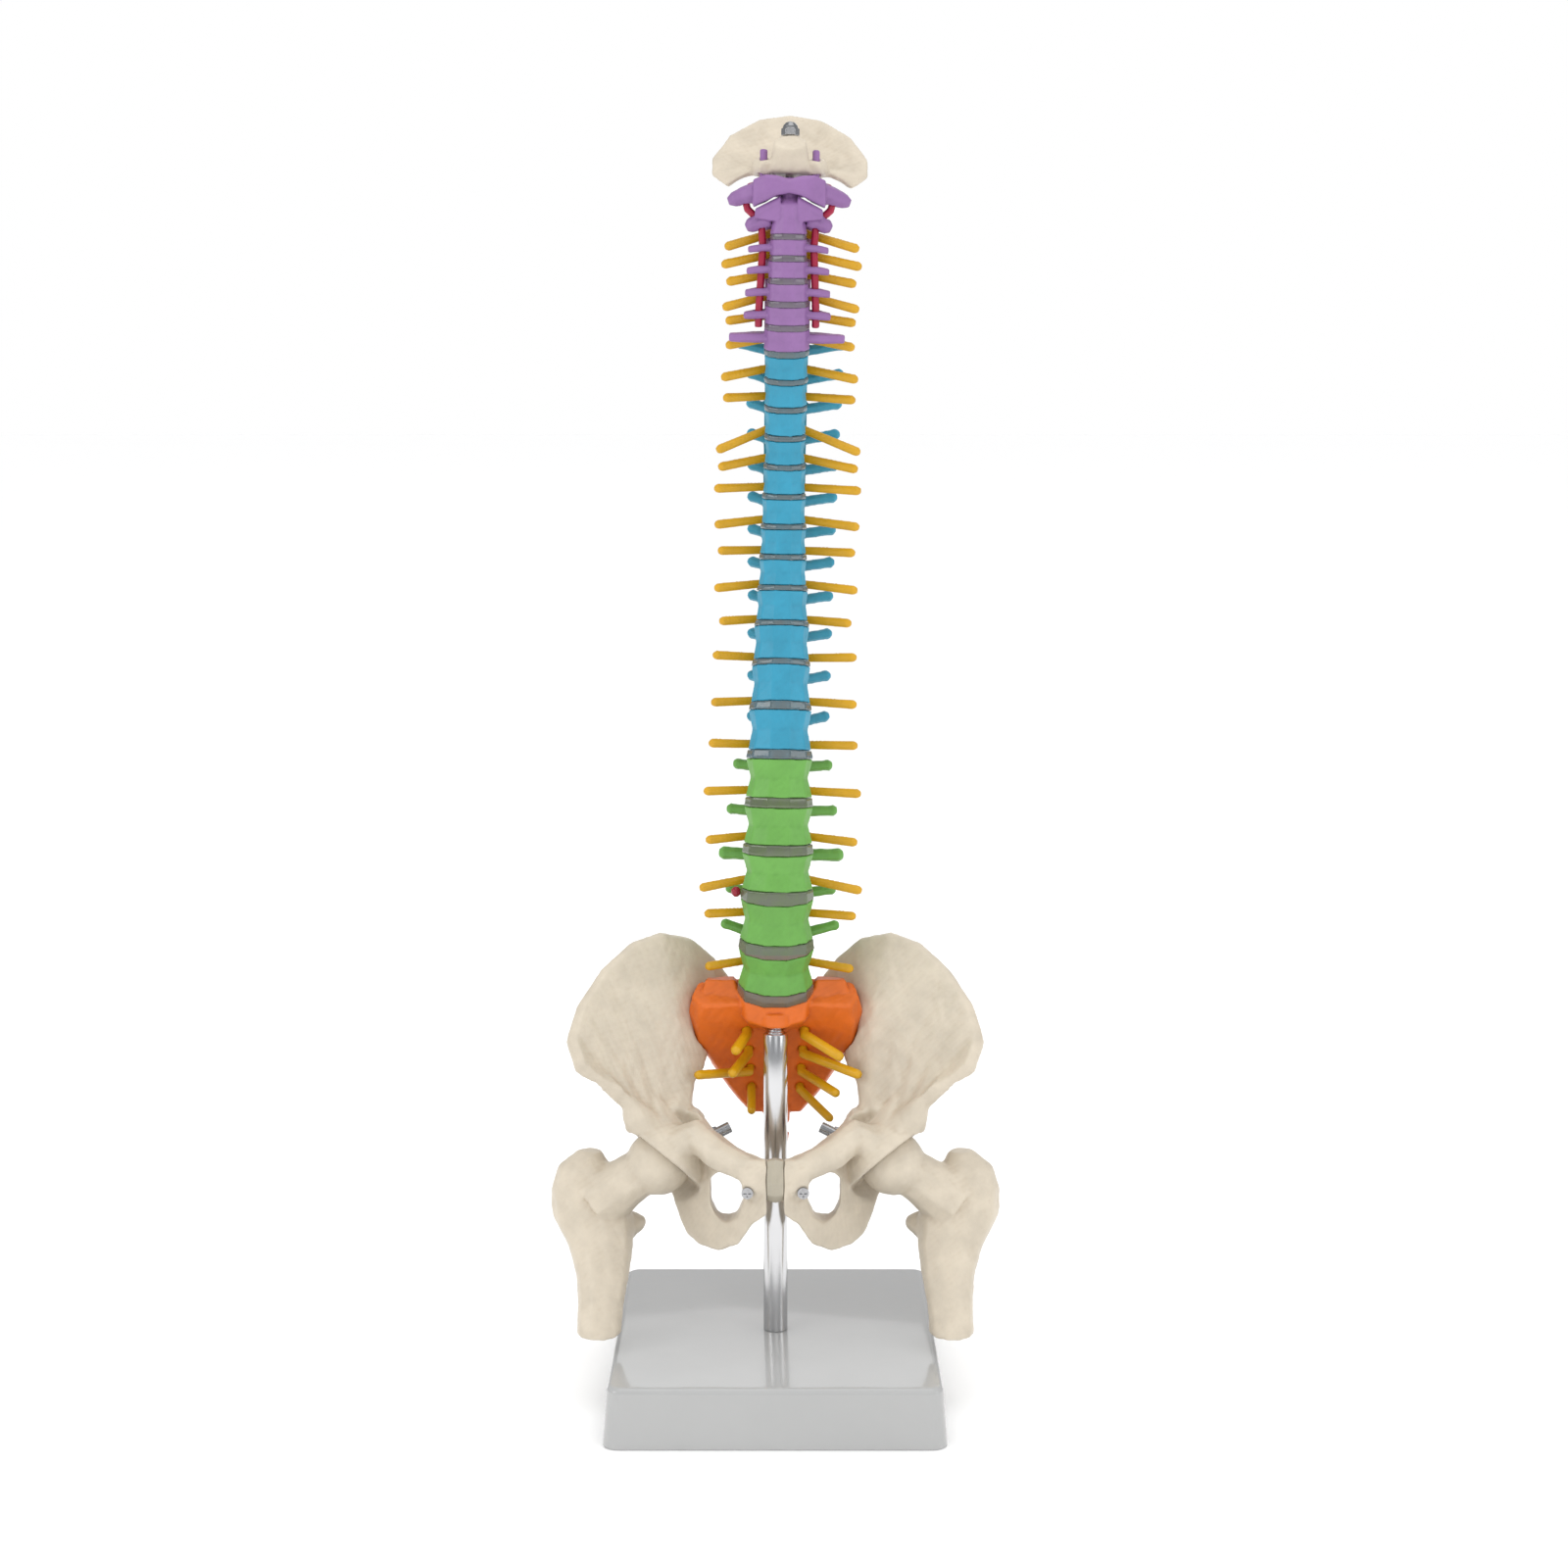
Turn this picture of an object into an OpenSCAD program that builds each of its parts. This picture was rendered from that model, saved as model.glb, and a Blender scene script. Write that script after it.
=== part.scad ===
// Spine anatomy model with pelvis and femur stumps, about half natural size.
// Z is up, the model faces -Y, and -X is its anatomical right side.

/* [Base and rod] */
// Width of the base plate
base_w = 116; // [90:1:160]
// Depth of the base plate
base_dp = 140; // [110:1:180]
// Height of the base plate
base_h = 21; // [15:1:30]
// Draft of the base's sides
base_draft = 1.4; // [0:0.1:3]
// Corner radius of the base
base_corner = 5.5; // [4:0.5:24]
// Wall of the hollow base
base_wall = 2.6; // [2:0.1:4]
// Distance from the rod to the front edge of the base
rod_front = 65; // [50:1:90]
// Diameter of the support rod
rod_d = 8.5; // [6:0.1:12]
// Diameter of the rod's threaded ends
stud_d = 6; // [4:0.1:8]
// Height of the rod's upper shoulder
rod_top = 128.8; // [120:0.1:135]
// Depth of the lower thread inside the base
stud_grip = 9; // [6:0.5:10]
// Bare thread between the rod's shoulder and the sacrum
stud_bare = 2.6; // [1:0.1:5]
// Plastic left between the upper thread and the lowest disc
stud_cover = 3.2; // [1:0.1:5]
// Radial clearance of the threaded ends and bolts
fit = 0.08; // [0.05:0.01:0.15]
// Gap between neighbouring soft or curved parts
gap = 0.3; // [0.2:0.05:0.5]

/* [Spinal column] */
// Depth position of the sacral plate
s1_y = 4; // [0:0.5:8]
// Height of the sacral plate
s1_z = 143.7; // [140:0.1:150]
// Sideways lean of the column in degrees
side_lean = 1; // [0:0.1:2]
// Spacing of the lowest vertebra
pitch_l5 = 18.5; // [16:0.1:20]
// Spacing at the third lumbar vertebra
pitch_l3 = 16; // [14:0.1:19]
// Spacing at the twelfth thoracic vertebra
pitch_t12 = 16.6; // [14:0.1:18]
// Spacing at the eighth thoracic vertebra
pitch_t8 = 10.8; // [9:0.1:13]
// Spacing at the first thoracic vertebra
pitch_t1 = 9.7; // [8:0.1:12]
// Spacing at the third cervical vertebra
pitch_c3 = 7.1; // [6.5:0.1:9]
// Forward tilt of the fifth lumbar vertebra
tilt_l5 = 20; // [10:1:26]
// Tilt of the third lumbar vertebra
tilt_l3 = 1; // [-6:1:8]
// Tilt of the eleventh thoracic vertebra
tilt_t11 = -12; // [-16:1:0]
// Tilt of the sixth thoracic vertebra
tilt_t6 = 3; // [-4:1:8]
// Tilt of the first thoracic vertebra
tilt_t1 = 18; // [8:1:22]
// Tilt of the third cervical vertebra
tilt_c3 = 2; // [-4:1:8]
// Tilt of the sacral plate
tilt_s1 = 27; // [20:1:32]
// Body width at the fifth lumbar vertebra
width_l5 = 27; // [22:0.5:32]
// Body width at the first lumbar vertebra
width_l1 = 23.4; // [18:0.2:28]
// Body width at the eighth thoracic vertebra
width_t8 = 16.8; // [13:0.2:22]
// Body width at the fourth thoracic vertebra
width_t4 = 14.2; // [11:0.2:18]
// Body width at the seventh cervical vertebra
width_c7 = 15.6; // [12:0.2:19]
// Body width at the third cervical vertebra
width_c3 = 12.4; // [10:0.2:16]
// Body depth at the fifth lumbar vertebra
depth_l5 = 18.5; // [15:0.5:22]
// Body depth at the eighth thoracic vertebra
depth_t8 = 14.5; // [11:0.5:18]
// Body depth at the third cervical vertebra
depth_c3 = 8.8; // [7:0.2:11]
// Disc thickness in the lumbar part
disc_lumbar = 3.6; // [2.5:0.1:5]
// Disc thickness in the thoracic part
disc_thoracic = 2.1; // [1.5:0.1:3]
// How far the discs stand proud
disc_proud = 0.1; // [0:0.05:1]
// Canal radius in the lumbar part
canal_lumbar = 5; // [4.2:0.1:6]
// Canal radius in the thoracic part
canal_thoracic = 4.2; // [3.8:0.1:5]
// Diameter of the spinal cord sleeve
cord_d = 5; // [4:0.1:5.6]
// Diameter of the steel core
core_d = 3; // [2:0.1:3.6]
// Diameter of a nerve root
nerve_d = 3; // [2:0.1:3.2]
// Diameter of a vertebral artery
artery_d = 2.8; // [2:0.1:3.2]
// How far the rib processes reach further on the left side
rib_skew = 3; // [0:0.1:4]
// Diameter of the disc prolapse
prolapse_d = 3.8; // [2:0.1:5]

/* [Pelvis and femurs] */
// Half distance between the hip centres
hip_x = 41; // [38:0.5:44]
// Depth position of the hip centres
hip_y = -8; // [-12:0.5:-4]
// Height of the hip centres
hip_z = 84; // [82:0.5:88]
// Diameter of the femoral head
head_d = 23; // [20:0.5:25]
// Diameter of the hip bolt
bolt_d = 4; // [3:0.1:5]
// Distance from the hip centre to the wing nut's seat
nut_seat = 16; // [15:0.1:18]
// Span of the wing nut
wing_span = 13; // [10:0.5:15]
// Height of the pubic symphysis centre
pubis_z = 84; // [80:0.5:88]
// Width of the symphysis disc
symphysis_w = 5.8; // [4:0.1:8]
// Height of the femur stumps' lower ends
femur_bottom = 27; // [25:0.5:34]
// Diameter of the femur shafts
shaft_d = 16; // [13:0.5:18]

/* [Skull part] */
// Height of the occiput's upper edge
occiput_top = 448; // [440:1:455]
// Half width of the occiput
occiput_w = 28; // [22:0.5:34]
// Diameter of the pegs between atlas and occiput
peg_d = 2.2; // [1.4:0.1:3]
// Thickness of the occiput's shell
occiput_t = 2.6; // [2:0.1:4]

/* [Hidden] */
$fn = 16;

bone = "#dcd3c2";
neck_tint = "#a97cba";
chest_tint = "#3f9fc0";
loin_tint = "#7fba60";
sacral_tint = "#dd6f2c";
nerve_tint = "#d9a01f";
blood_tint = "#a81c3c";
steel = "#c9ccd0";
plastic = "#c8c8c8";
clear_tint = "#8a8a86";

// Sizes along the column, level 0 is the lowest vertebra
function pitch(k) = lookup(k, [[0, pitch_l5], [1, pitch_l5], [2, pitch_l3], [5, pitch_t12],
  [9, pitch_t8], [16, pitch_t1], [18, (pitch_t1 + pitch_c3) / 2 - 0.6], [21, pitch_c3]]);
function tilt(k) = lookup(k, [[-1, tilt_s1], [0, tilt_l5], [2, tilt_l3], [6, tilt_t11],
  [11, tilt_t6], [16, tilt_t1], [21, tilt_c3], [23, 0]]);
function bw(k) = lookup(k, [[0, width_l5], [4, width_l1], [9, width_t8], [13, width_t4],
  [17, width_c7], [21, width_c3]]);
function bd(k) = lookup(k, [[0, depth_l5], [9, depth_t8], [13, depth_t8 - 2.4],
  [17, depth_c3 + 0.9], [21, depth_c3]]);
function dt(k) = lookup(k, [[0, disc_lumbar + 0.4], [4, disc_lumbar - 0.4],
  [8, disc_thoracic], [21, disc_thoracic]]);
function cr(k) = lookup(k, [[4, canal_lumbar], [8, canal_thoracic], [15, canal_thoracic],
  [19, canal_thoracic + 0.3]]);
function bh(k) = pitch(k) - (dt(k) + dt(k + 1)) / 2;
function cy(k) = bd(k) / 2 + cr(k);

// Positions: foot(k) is the middle of the disc under level k
function foot(k) = k <= 0 ? [0, s1_y, s1_z]
  : foot(k - 1) + pitch(k - 1) * [0, -sin(tilt(k - 1)), cos(tilt(k - 1))];
FOOT = [for (k = [0:23]) foot(k)];
function spin(a, p) = [p.x, p.y * cos(a) - p.z * sin(a), p.y * sin(a) + p.z * cos(a)];
function mid(k) = FOOT[k] + spin(tilt(k), [0, 0, pitch(k) / 2]);
function loc(k, p) = mid(k) + spin(tilt(k), p);
function lean(p) = [p.x * cos(side_lean) + (p.z - s1_z) * sin(side_lean), p.y,
  s1_z + (p.z - s1_z) * cos(side_lean) - p.x * sin(side_lean)];
// Top of the rod's upper thread, below the front of the sacral plate
PLATE_Y = (stud_d / 2 + fit + s1_y + dt(0) / 2 * sin(tilt_s1)) / cos(tilt_s1);
STUD_TOP = s1_z - PLATE_Y * sin(tilt_s1) - dt(0) / 2 * cos(tilt_s1) - stud_cover - gap;
function dtilt(k) = (tilt(k) + tilt(k - 1)) / 2;
function at_disc(k, p) = FOOT[k] + spin(dtilt(k), p);

module leaning() {
  translate([0, 0, s1_z])
    rotate([0, side_lean, 0])
      translate([0, 0, -s1_z])
        children();
}

module at_level(k) {
  translate(mid(k))
    rotate([tilt(k), 0, 0])
      children();
}

// A closed skin over rings that all have the same number of points, turned outward by its volume
function six_volume(q) = [for (i = [1:len(q) - 2]) q[0] * cross(q[i], q[i + 1])];
function total(v) = v * [for (i = v) 1];
function strips(n) = [for (i = [0:n / 2 - 1]) each [if (i + 1 < n - 1 - i) [i, i + 1, n - 1 - i],
  if (i + 1 < n - 2 - i) [i + 1, n - 2 - i, n - 1 - i]]];
module loft(rings, flat = true) {
  n = len(rings[0]);
  m = len(rings);
  pts = [for (r = rings) each r];
  ends = flat ? [[for (i = [0:n - 1]) i]] : strips(n);
  skin = concat([for (f = ends) [for (i = [len(f) - 1:-1:0]) f[i]]],
    [for (j = [0:m - 2], i = [0:n - 1])
      each [[j * n + i, j * n + (i + 1) % n, (j + 1) * n + i],
        [j * n + (i + 1) % n, (j + 1) * n + (i + 1) % n, (j + 1) * n + i]]],
    [for (f = ends) [for (i = f) (m - 1) * n + i]]);
  c = pts[0];
  v = total([for (f = skin) total(six_volume([for (i = f) pts[i] - c]))]);
  polyhedron(points = pts, faces = v > 0 ? [for (f = skin) [for (i = [len(f) - 1:-1:0]) f[i]]] : skin);
}

// Rings of points in the XY plane
function oval(n, rx, ry) = [for (i = [0:n - 1]) [rx * sin(360 * (i + 0.5) / n),
  ry * cos(360 * (i + 0.5) / n), 0]];
function lift(r, z) = [for (p = r) [p.x, p.y, z]];
function kidney(n, rx, ry) = [for (p = oval(n, rx, ry))
  [p.x, p.y > 0 ? p.y * (0.8 + 0.2 * abs(p.x) / rx) : p.y, 0]];

function frame_of(d) = let(z = d / norm(d), h = abs(z.z) > 0.9 ? [0, 1, 0] : [0, 0, 1],
  x = cross(h, z) / norm(cross(h, z))) [x, cross(z, x), z];
function hoop(c, d, n, r) = let(f = frame_of(d)) [for (i = [0:n - 1])
  c + r * (sin(360 * i / n) * f[0] + cos(360 * i / n) * f[1])];

// A rod of n sides through the points, with one radius at each
function along(p, i) = p[min(i + 1, len(p) - 1)] - p[max(i - 1, 0)];
module tube(p, r, n = 5) {
  loft([for (i = [0:len(p) - 1]) hoop(p[i], along(p, i), n, r[i])]);
}

// A block that tapers along Y: half width, lower and upper height at each end
module fin(y0, a0, l0, u0, y1, a1, l1, u1) {
  loft([[[-a0, y0, l0], [-a0, y0, u0], [a0, y0, u0], [a0, y0, l0]],
    [[-a1, y1, l1], [-a1, y1, u1], [a1, y1, u1], [a1, y1, l1]]]);
}

// Base
function plate_ring(w, d, r, n = 3) = [for (q = [0:3], i = [0:n])
  let(a = 90 * q + 90 * i / n, sx = q < 2 ? 1 : -1, sy = (q == 0 || q == 3) ? 1 : -1)
    [sx * (w / 2 - r) + r * sin(a), sy * (d / 2 - r) + r * cos(a), 0]];

module base() {
  w1 = base_w - 2 * base_draft;
  d1 = base_dp - 2 * base_draft;
  cav = base_h - base_wall;
  cw = w1 / 2 - base_wall;
  cd = d1 / 2 - base_wall;
  cc = base_corner * 0.6;
  color(plastic)
    translate([0, base_dp / 2 - rod_front, 0])
      difference() {
        loft([lift(plate_ring(base_w, base_dp, base_corner), 0),
          lift(plate_ring(w1 + 0.3, d1 + 0.3, base_corner), base_h - 2.4),
          lift(plate_ring(w1 - 1.3, d1 - 1.3, base_corner - 1), base_h - 0.7),
          lift(plate_ring(w1 - 4, d1 - 4, base_corner - 2), base_h)]);
        difference() {
          translate([0, 0, -1])
            linear_extrude(cav + 1)
              polygon([[cw, cc - cd], [cw, cd - cc], [cw - cc, cd], [cc - cw, cd], [-cw, cd - cc],
                [-cw, cc - cd], [cc - cw, -cd], [cw - cc, -cd]]);
          for (x = [-1, 1])
            translate([x * base_w / 6, 0, cav / 2 + 1.5])
              cube([1.8, base_dp, cav], center = true);
          for (y = [-1:1])
            translate([0, y * base_dp / 4, cav / 2 + 1.5])
              cube([base_w, 1.8, cav], center = true);
          translate([0, rod_front - base_dp / 2, -2])
            cylinder(d = 20, h = base_h, $fn = 16);
        }
        translate([0, rod_front - base_dp / 2, base_h - stud_grip - 5])
          cylinder(r = stud_d / 2 + fit, h = base_h, $fn = 16);
      }
}

module support_rod() {
  color(steel)
    rotate_extrude($fn = 24)
      polygon([[0, base_h - stud_grip - 4.6], [stud_d / 2 - 0.6, base_h - stud_grip - 4.6],
        [stud_d / 2, base_h - stud_grip - 4], [stud_d / 2, base_h],
        [rod_d / 2, base_h], [rod_d / 2, rod_top - 0.6], [rod_d / 2 - 0.6, rod_top],
        [stud_d / 2, rod_top], [stud_d / 2, STUD_TOP - 0.6],
        [stud_d / 2 - 0.6, STUD_TOP], [0, STUD_TOP]]);
}

// Sacrum and coccyx: rows of the shield give centre, tilt, half width and depth
SHIELD = [[[0, 7, s1_z - 2.2], tilt_s1, 29, 15], [[0, 10.5, s1_z - 8.5], 32, 30.5, 14.5],
  [[0, 15.5, s1_z - 17], 36, 30, 12.5], [[0, 20.5, s1_z - 26], 26, 25, 10],
  [[0, 24, s1_z - 35], 14, 20, 8], [[0, 25.2, s1_z - 43], 0, 14.5, 6.5],
  [[0, 24.4, s1_z - 49], -14, 9, 5]];

function shield_ring(c, a, w, d) = [for (p = [[0, d * 0.62], [w * 0.36, d * 0.55],
  [w * 0.94, d * 0.36], [w, -d * 0.12], [w * 0.9, -d * 0.5], [w * 0.45, -d * 0.42],
  [0, -d * 0.36], [-w * 0.45, -d * 0.42], [-w * 0.9, -d * 0.5], [-w, -d * 0.12],
  [-w * 0.94, d * 0.36], [-w * 0.36, d * 0.55]]) c + spin(a, [p.x, p.y, 0])];

module shield(g = 0) {
  loft([for (i = [len(SHIELD) - 1:-1:0]) let(s = SHIELD[i])
    shield_ring(s[0] + [0, 0, i == 0 ? g : 0], s[1], s[2] + g, s[3] + 2 * g)]);
}

// Openings for the roots lie halfway between two rows, square to the front face
function face(i, x) = SHIELD[i][0] + spin(SHIELD[i][1], [x, -SHIELD[i][3] * 0.4, 0]);
function sacral_hole(i, s) = (face(i + 1, s * (10.2 - 0.5 * i)) + face(i + 2, s * (10.2 - 0.5 * i))) / 2;
function face_out(i) = let(t = face(i + 1, 0) - face(i + 2, 0)) [0, -t.z, t.y] / norm(t);

module sacrum() {
  t = tilt(-1);
  dz = dt(0) / 2;
  c0 = FOOT[0];
  w = bw(0) / 2;
  d = bd(0) / 2;
  drop = (c0.z - PLATE_Y * sin(t) - dz * cos(t) - rod_top - stud_bare) * cos(t);
  color(sacral_tint)
    difference() {
      union() {
        shield();
        // body of the first sacral level, its top is the seat of the lowest disc
        loft([[for (p = kidney(10, w - 3.5, d - 3)) c0 + spin(t, [p.x, p.y + 1, -dz - 13])],
          [for (p = kidney(10, w - 1, d - 0.5)) c0 + spin(t, [p.x, p.y - drop * tan(t), -dz - drop])],
          [for (p = kidney(10, w, d)) c0 + spin(t, [p.x, p.y, -dz])]]);
        // boss in front of the body that the rod's stud is screwed into
        translate([0, 0, rod_top + stud_bare])
          cylinder(r = stud_d / 2 + 1.8, h = STUD_TOP + 1.2 - rod_top - stud_bare, $fn = 14);
        // wings that rise beside the body
        for (s = [-1, 1])
          loft([[for (p = [[12, 3], [26.5, 5], [26, 13], [12, 20]]) [s * p.x, p.y, s1_z - 5]],
            [for (p = [[14.5, 8], [24.5, 8.5], [24, 12.5], [15, 16]]) [s * p.x, p.y, s1_z + 1.8]]]);
        // arch around the canal, with the crest and the upper joint faces
        translate(c0)
          rotate([t, 0, 0]) {
            translate([0, 0, -dz - 8])
              arch(0, 6.5, 0);
          }
        for (s = [-1, 1])
          loft([for (q = [[-gap / 2, 0], [-11, 1]]) [for (p = [[cr(0) * 0.8, 2.4], [cr(0) * 0.8, 6.4],
            [cr(0) + 3.4, 5], [cr(0) + 3.4, 2.4]])
            lean(at_disc(0, [s * p.x, cy(0) + p.y + q[1] - 0.8, q[0]]))]]);
        fin(20, 5.5, s1_z - 24, s1_z - 2, 31, 1.6, s1_z - 16, s1_z - 6);
        fin(24, 4, s1_z - 38, s1_z - 18, 32.5, 1.4, s1_z - 34, s1_z - 22);
        // coccyx
        tube([[0, 24.4, s1_z - 47], [1, 23.4, s1_z - 53], [2, 21, s1_z - 57],
          [2.6, 18.4, s1_z - 60.5]], [5.4, 4.2, 2.8, 1.3], 6);
      }
      for (i = [0:3], s = [-1, 1])
        aim(sacral_hole(i, s) - 30 * face_out(i), face_out(i))
          cylinder(r = root_r(i) + gap, h = 45, $fn = 13);
      // clearance for the rod and the tapped hole above it
      translate([0, 0, rod_top - 40])
        cylinder(r = rod_d / 2 + gap, h = 40 + stud_bare, $fn = 14);
      cylinder(r = stud_d / 2 + fit, h = STUD_TOP + gap, $fn = 14);
      // socket of the cord
      leaning()
        translate(loc(0, [0, cy(0), 0]))
          rotate([tilt(0), 0, 0])
            translate([0, 0, -pitch(0) / 2 - 20])
              cylinder(r = cord_d / 2 + fit, h = 40, $fn = 14);
    }
}

// Neural arch seen from above: two pedicles and the laminae
module arch(k, t, sink) {
  r = cr(k);
  c = cy(k);
  y0 = bd(k) / 2;
  o = [[bw(k) * 0.34, y0 - 2.4], [bw(k) * 0.37, y0 - 0.6], [r + 2.3, c - 0.3], [r + 1.9, c + r * 0.45],
    [r * 0.5 + 1.2, c + r + 0.9], [1.2, c + r + 2.4]];
  i = [[r * 0.92, y0 - 0.4], [r, c + r * 0.3], [r * 0.5, c + r * 0.86]];
  translate([0, 0, sink])
    linear_extrude(t)
      difference() {
        polygon([each o, for (j = [5:-1:0]) [-o[j].x, o[j].y]]);
        polygon([each i, for (j = [2:-1:0]) [-i[j].x, i[j].y]]);
      }
}

// Transverse process from the arch to its knobbed tip
module bar(a, b, r0, r1) {
  u = (b - a) / norm(b - a);
  tube([a, b - u * r1 * 1.6, b - u * r1 * 0.6, b], [r0, r1 * 0.9, r1, r1 * 0.55], 6);
}

function waist(k) = lookup(k, [[4, 0.86], [7, 0.92], [21, 0.94]]);
module body_block(k) {
  w = bw(k) / 2;
  d = bd(k) / 2;
  h = bh(k) / 2;
  loft([lift(kidney(10, w, d), -h), lift(kidney(10, w * waist(k), d * waist(k)), 0),
    lift(kidney(10, w, d), h)]);
}

// Joint pillars end on the planes of the discs above and below, a gap apart
module pillars(k) {
  r = cr(k);
  y0 = cy(k) + nerve_d / 2 + 0.6;
  y1 = cy(k) + r + 0.6;
  for (s = [-1, 1]) {
    x0 = s * (r * 0.8 + 0.4);
    x1 = s * (r + 3.2);
    low = [[x0, y0 + 1, gap / 2], [x0, y1 + 0.8, gap / 2], [x1, y1 - 0.4, gap / 2], [x1, y0 + 1, gap / 2]];
    loft([[for (p = low) at_disc(k, p)],
      [for (p = low) at_disc(k + 1, [p.x, p.y - 0.8, -gap / 2])]]);
  }
}

module lumbar(k) {
  h = bh(k);
  r = cr(k);
  c = cy(k);
  reach = lookup(k, [[0, 21], [1, 19.5], [2, 22], [3, 19.5], [4, 17.5]]);
  rise = lookup(k, [[0, 4], [1, 1.5], [2, 0], [4, 1]]);
  color(loin_tint)
    leaning() {
      pillars(k);
      at_level(k) {
        body_block(k);
        arch(k, h * 0.44, h * 0.03);
        fin(c + r, 2, -h * 0.3, h * 0.42, c + r + 10.5, 1.3, -h * 0.62, h * 0.26);
        for (s = [-1, 1])
          bar([s * (r + 1.4), c + 0.6, h * 0.26], [s * reach + rib_skew * 0.4, c + 2.4, h * 0.26 + rise],
            2.4, k == 2 ? 2.7 : 2.2);
      }
    }
}

module thoracic(k) {
  h = bh(k);
  r = cr(k);
  c = cy(k);
  f = (k - 5) / 11;
  reach = lookup(k, [[5, 14.2], [8, 14.8], [13, 16], [15, 16.8], [16, 19]]);
  skew = lookup(k, [[15, rib_skew], [16, rib_skew / 2]]);
  fall = lookup(k, [[5, 4], [8, 8], [12, 9.5], [16, 4]]);
  color(chest_tint)
    leaning() {
      pillars(k);
      at_level(k) {
        body_block(k);
        arch(k, h * 0.42, h * 0.05);
        fin(c + r, 1.9, -h * 0.1, h * 0.42, c + r + 9.5, 0.9, -fall - 1.6, -fall + 1.2);
        for (s = [-1, 1])
          bar([s * (r + 1.2), c + 1.4, h * 0.24], [s * reach + skew, c + 5.6, h * 0.46], 2, 2.2);
      }
    }
}

// Side plate of a neck vertebra, sloping down to its tip
module neck_wing(z, t, tip, hx, hy, sink, w0 = 3, w1 = 1.6, x0 = 3) {
  for (s = [-1, 1])
    loft([for (q = [[x0, w0, t, z], [hx + 1.2, w0, t, z - sink * 0.5], [tip, w1, t * 0.85, z - sink]])
      [for (p = [[-1, 0], [-0.7, 0.5], [0.7, 0.5], [1, 0], [0.7, -0.5], [-0.7, -0.5]])
        [s * q[0], hy + p.x * q[1], q[3] + p.y * q[2]]]]);
}

function art_x(k) = lookup(k, [[17, width_c7 / 2 + 2.2], [21, width_c3 / 2 + 2.4],
  [22, 9.2], [23, 15]]);
function art_y(k) = lookup(k, [[17, 1.6], [21, 1.6], [22, 2.6], [23, 6]]);

// Arteries climb through the side plates of the neck, g widens them to the holes
ATLAS_TOP = 20.2;
ART = [loc(18, [art_x(18), art_y(18), -4.5]), for (k = [18:21]) loc(k, [art_x(k), art_y(k), 0]),
  FOOT[22] + [art_x(22), art_y(22), 5], FOOT[22] + [art_x(23) - 1, 2.8, 9.2],
  FOOT[22] + [art_x(23), 3.2, 13.2], FOOT[22] + [art_x(23) - 1.6, 5.4, 16.8],
  FOOT[22] + [9.5, 10.4, 18.4]];
module artery_path(s, g, a = 0, b = 9) {
  loft([for (i = [a:b]) let(d = along(ART, i), v = cross(d, [1, 0, 0]), u = cross(v, d))
    [for (j = [0:5])
      let(w = cos(60 * j) * u / norm(u) + sin(60 * j) * v / norm(v), q = ART[i] + (artery_d / 2 + g) * w)
        [s * q.x, q.y, q.z]]]);
}

module cervical(k) {
  h = bh(k);
  r = cr(k);
  c = cy(k);
  len_s = lookup(k, [[17, 9.5], [18, 6.5], [21, 5.5]]);
  color(neck_tint)
    leaning()
      difference() {
        union() {
          pillars(k);
          at_level(k) {
            body_block(k);
            arch(k, h * 0.42, h * 0.05);
            fin(c + r, 1.8, -h * 0.1, h * 0.44, c + r + len_s, 1.9, -h * 0.5, h * 0.02);
            neck_wing(h * 0.06, h * 0.42, lookup(k, [[17, 19.5], [18, 14.6], [21, 13.4]]),
              art_x(k), art_y(k), k == 17 ? 0.4 : 1);
          }
        }
        if (k > 17)
          for (s = [-1, 1])
            artery_path(s, gap, k - 18, k - 16);
      }
}

// Axis: the second neck vertebra with its tooth
module c2() {
  k = 22;
  r = cr(k);
  c = cy(k);
  color(neck_tint)
    leaning()
      difference() {
        translate(FOOT[k])
          rotate([tilt(k), 0, 0]) {
            loft([lift(kidney(10, 6.2, 4.5), dt(k) / 2), lift(kidney(10, 5, 4), 6),
              lift(kidney(10, 5.4, 4.2), 10.4), [for (p = kidney(10, 2.8, 2.5)) p + [0, 1.4, 13]],
              [for (p = kidney(10, 2.5, 2.4)) p + [0, 1.6, 18.2]],
              [for (p = kidney(10, 1.4, 1.5)) p + [0, 1.8, 19.6]]]);
            // shoulders that carry the ring above
            for (s = [-1, 1])
              loft([[[s * 3, 5.5, 5], [s * 3, -3, 5], [s * 3, -3.6, 12.2], [s * 3, -2.6, 13.2],
                [s * 3, 5.5, 13.2]],
                [[s * 11.2, 4.5, 6], [s * 11.2, -2, 6], [s * 11.2, -2.6, 8], [s * 11.2, -2, 9],
                [s * 11.2, 4.5, 9]]]);
            translate([0, 0, 5])
              arch(k, 4.4, 0);
            fin(c + r, 2.4, 2.6, 9.4, c + r + 8.5, 3, 1, 6);
            for (s = [-1, 1]) {
              tube([[s * 6.5, 1.6, 6.4], [s * 10.6, art_y(k), 4.8], [s * 13, 2.6, 3.6], [s * 14.2, 2.6, 3]],
                [3, 3, 2.4, 1.3], 7);
              loft([for (z = [gap / 2, 6]) [for (p = [[s * (r * 0.8 + 0.4), 0], [s * (r * 0.8 + 0.4), r - 1],
                [s * (r + 3.2), r - 2], [s * (r + 3.2), 0]]) [p.x, c + p.y + 2.6, z]]]);
            }
          }
        for (s = [-1, 1])
          artery_path(s, gap * 1.5, 4, 7);
      }
}

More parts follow.
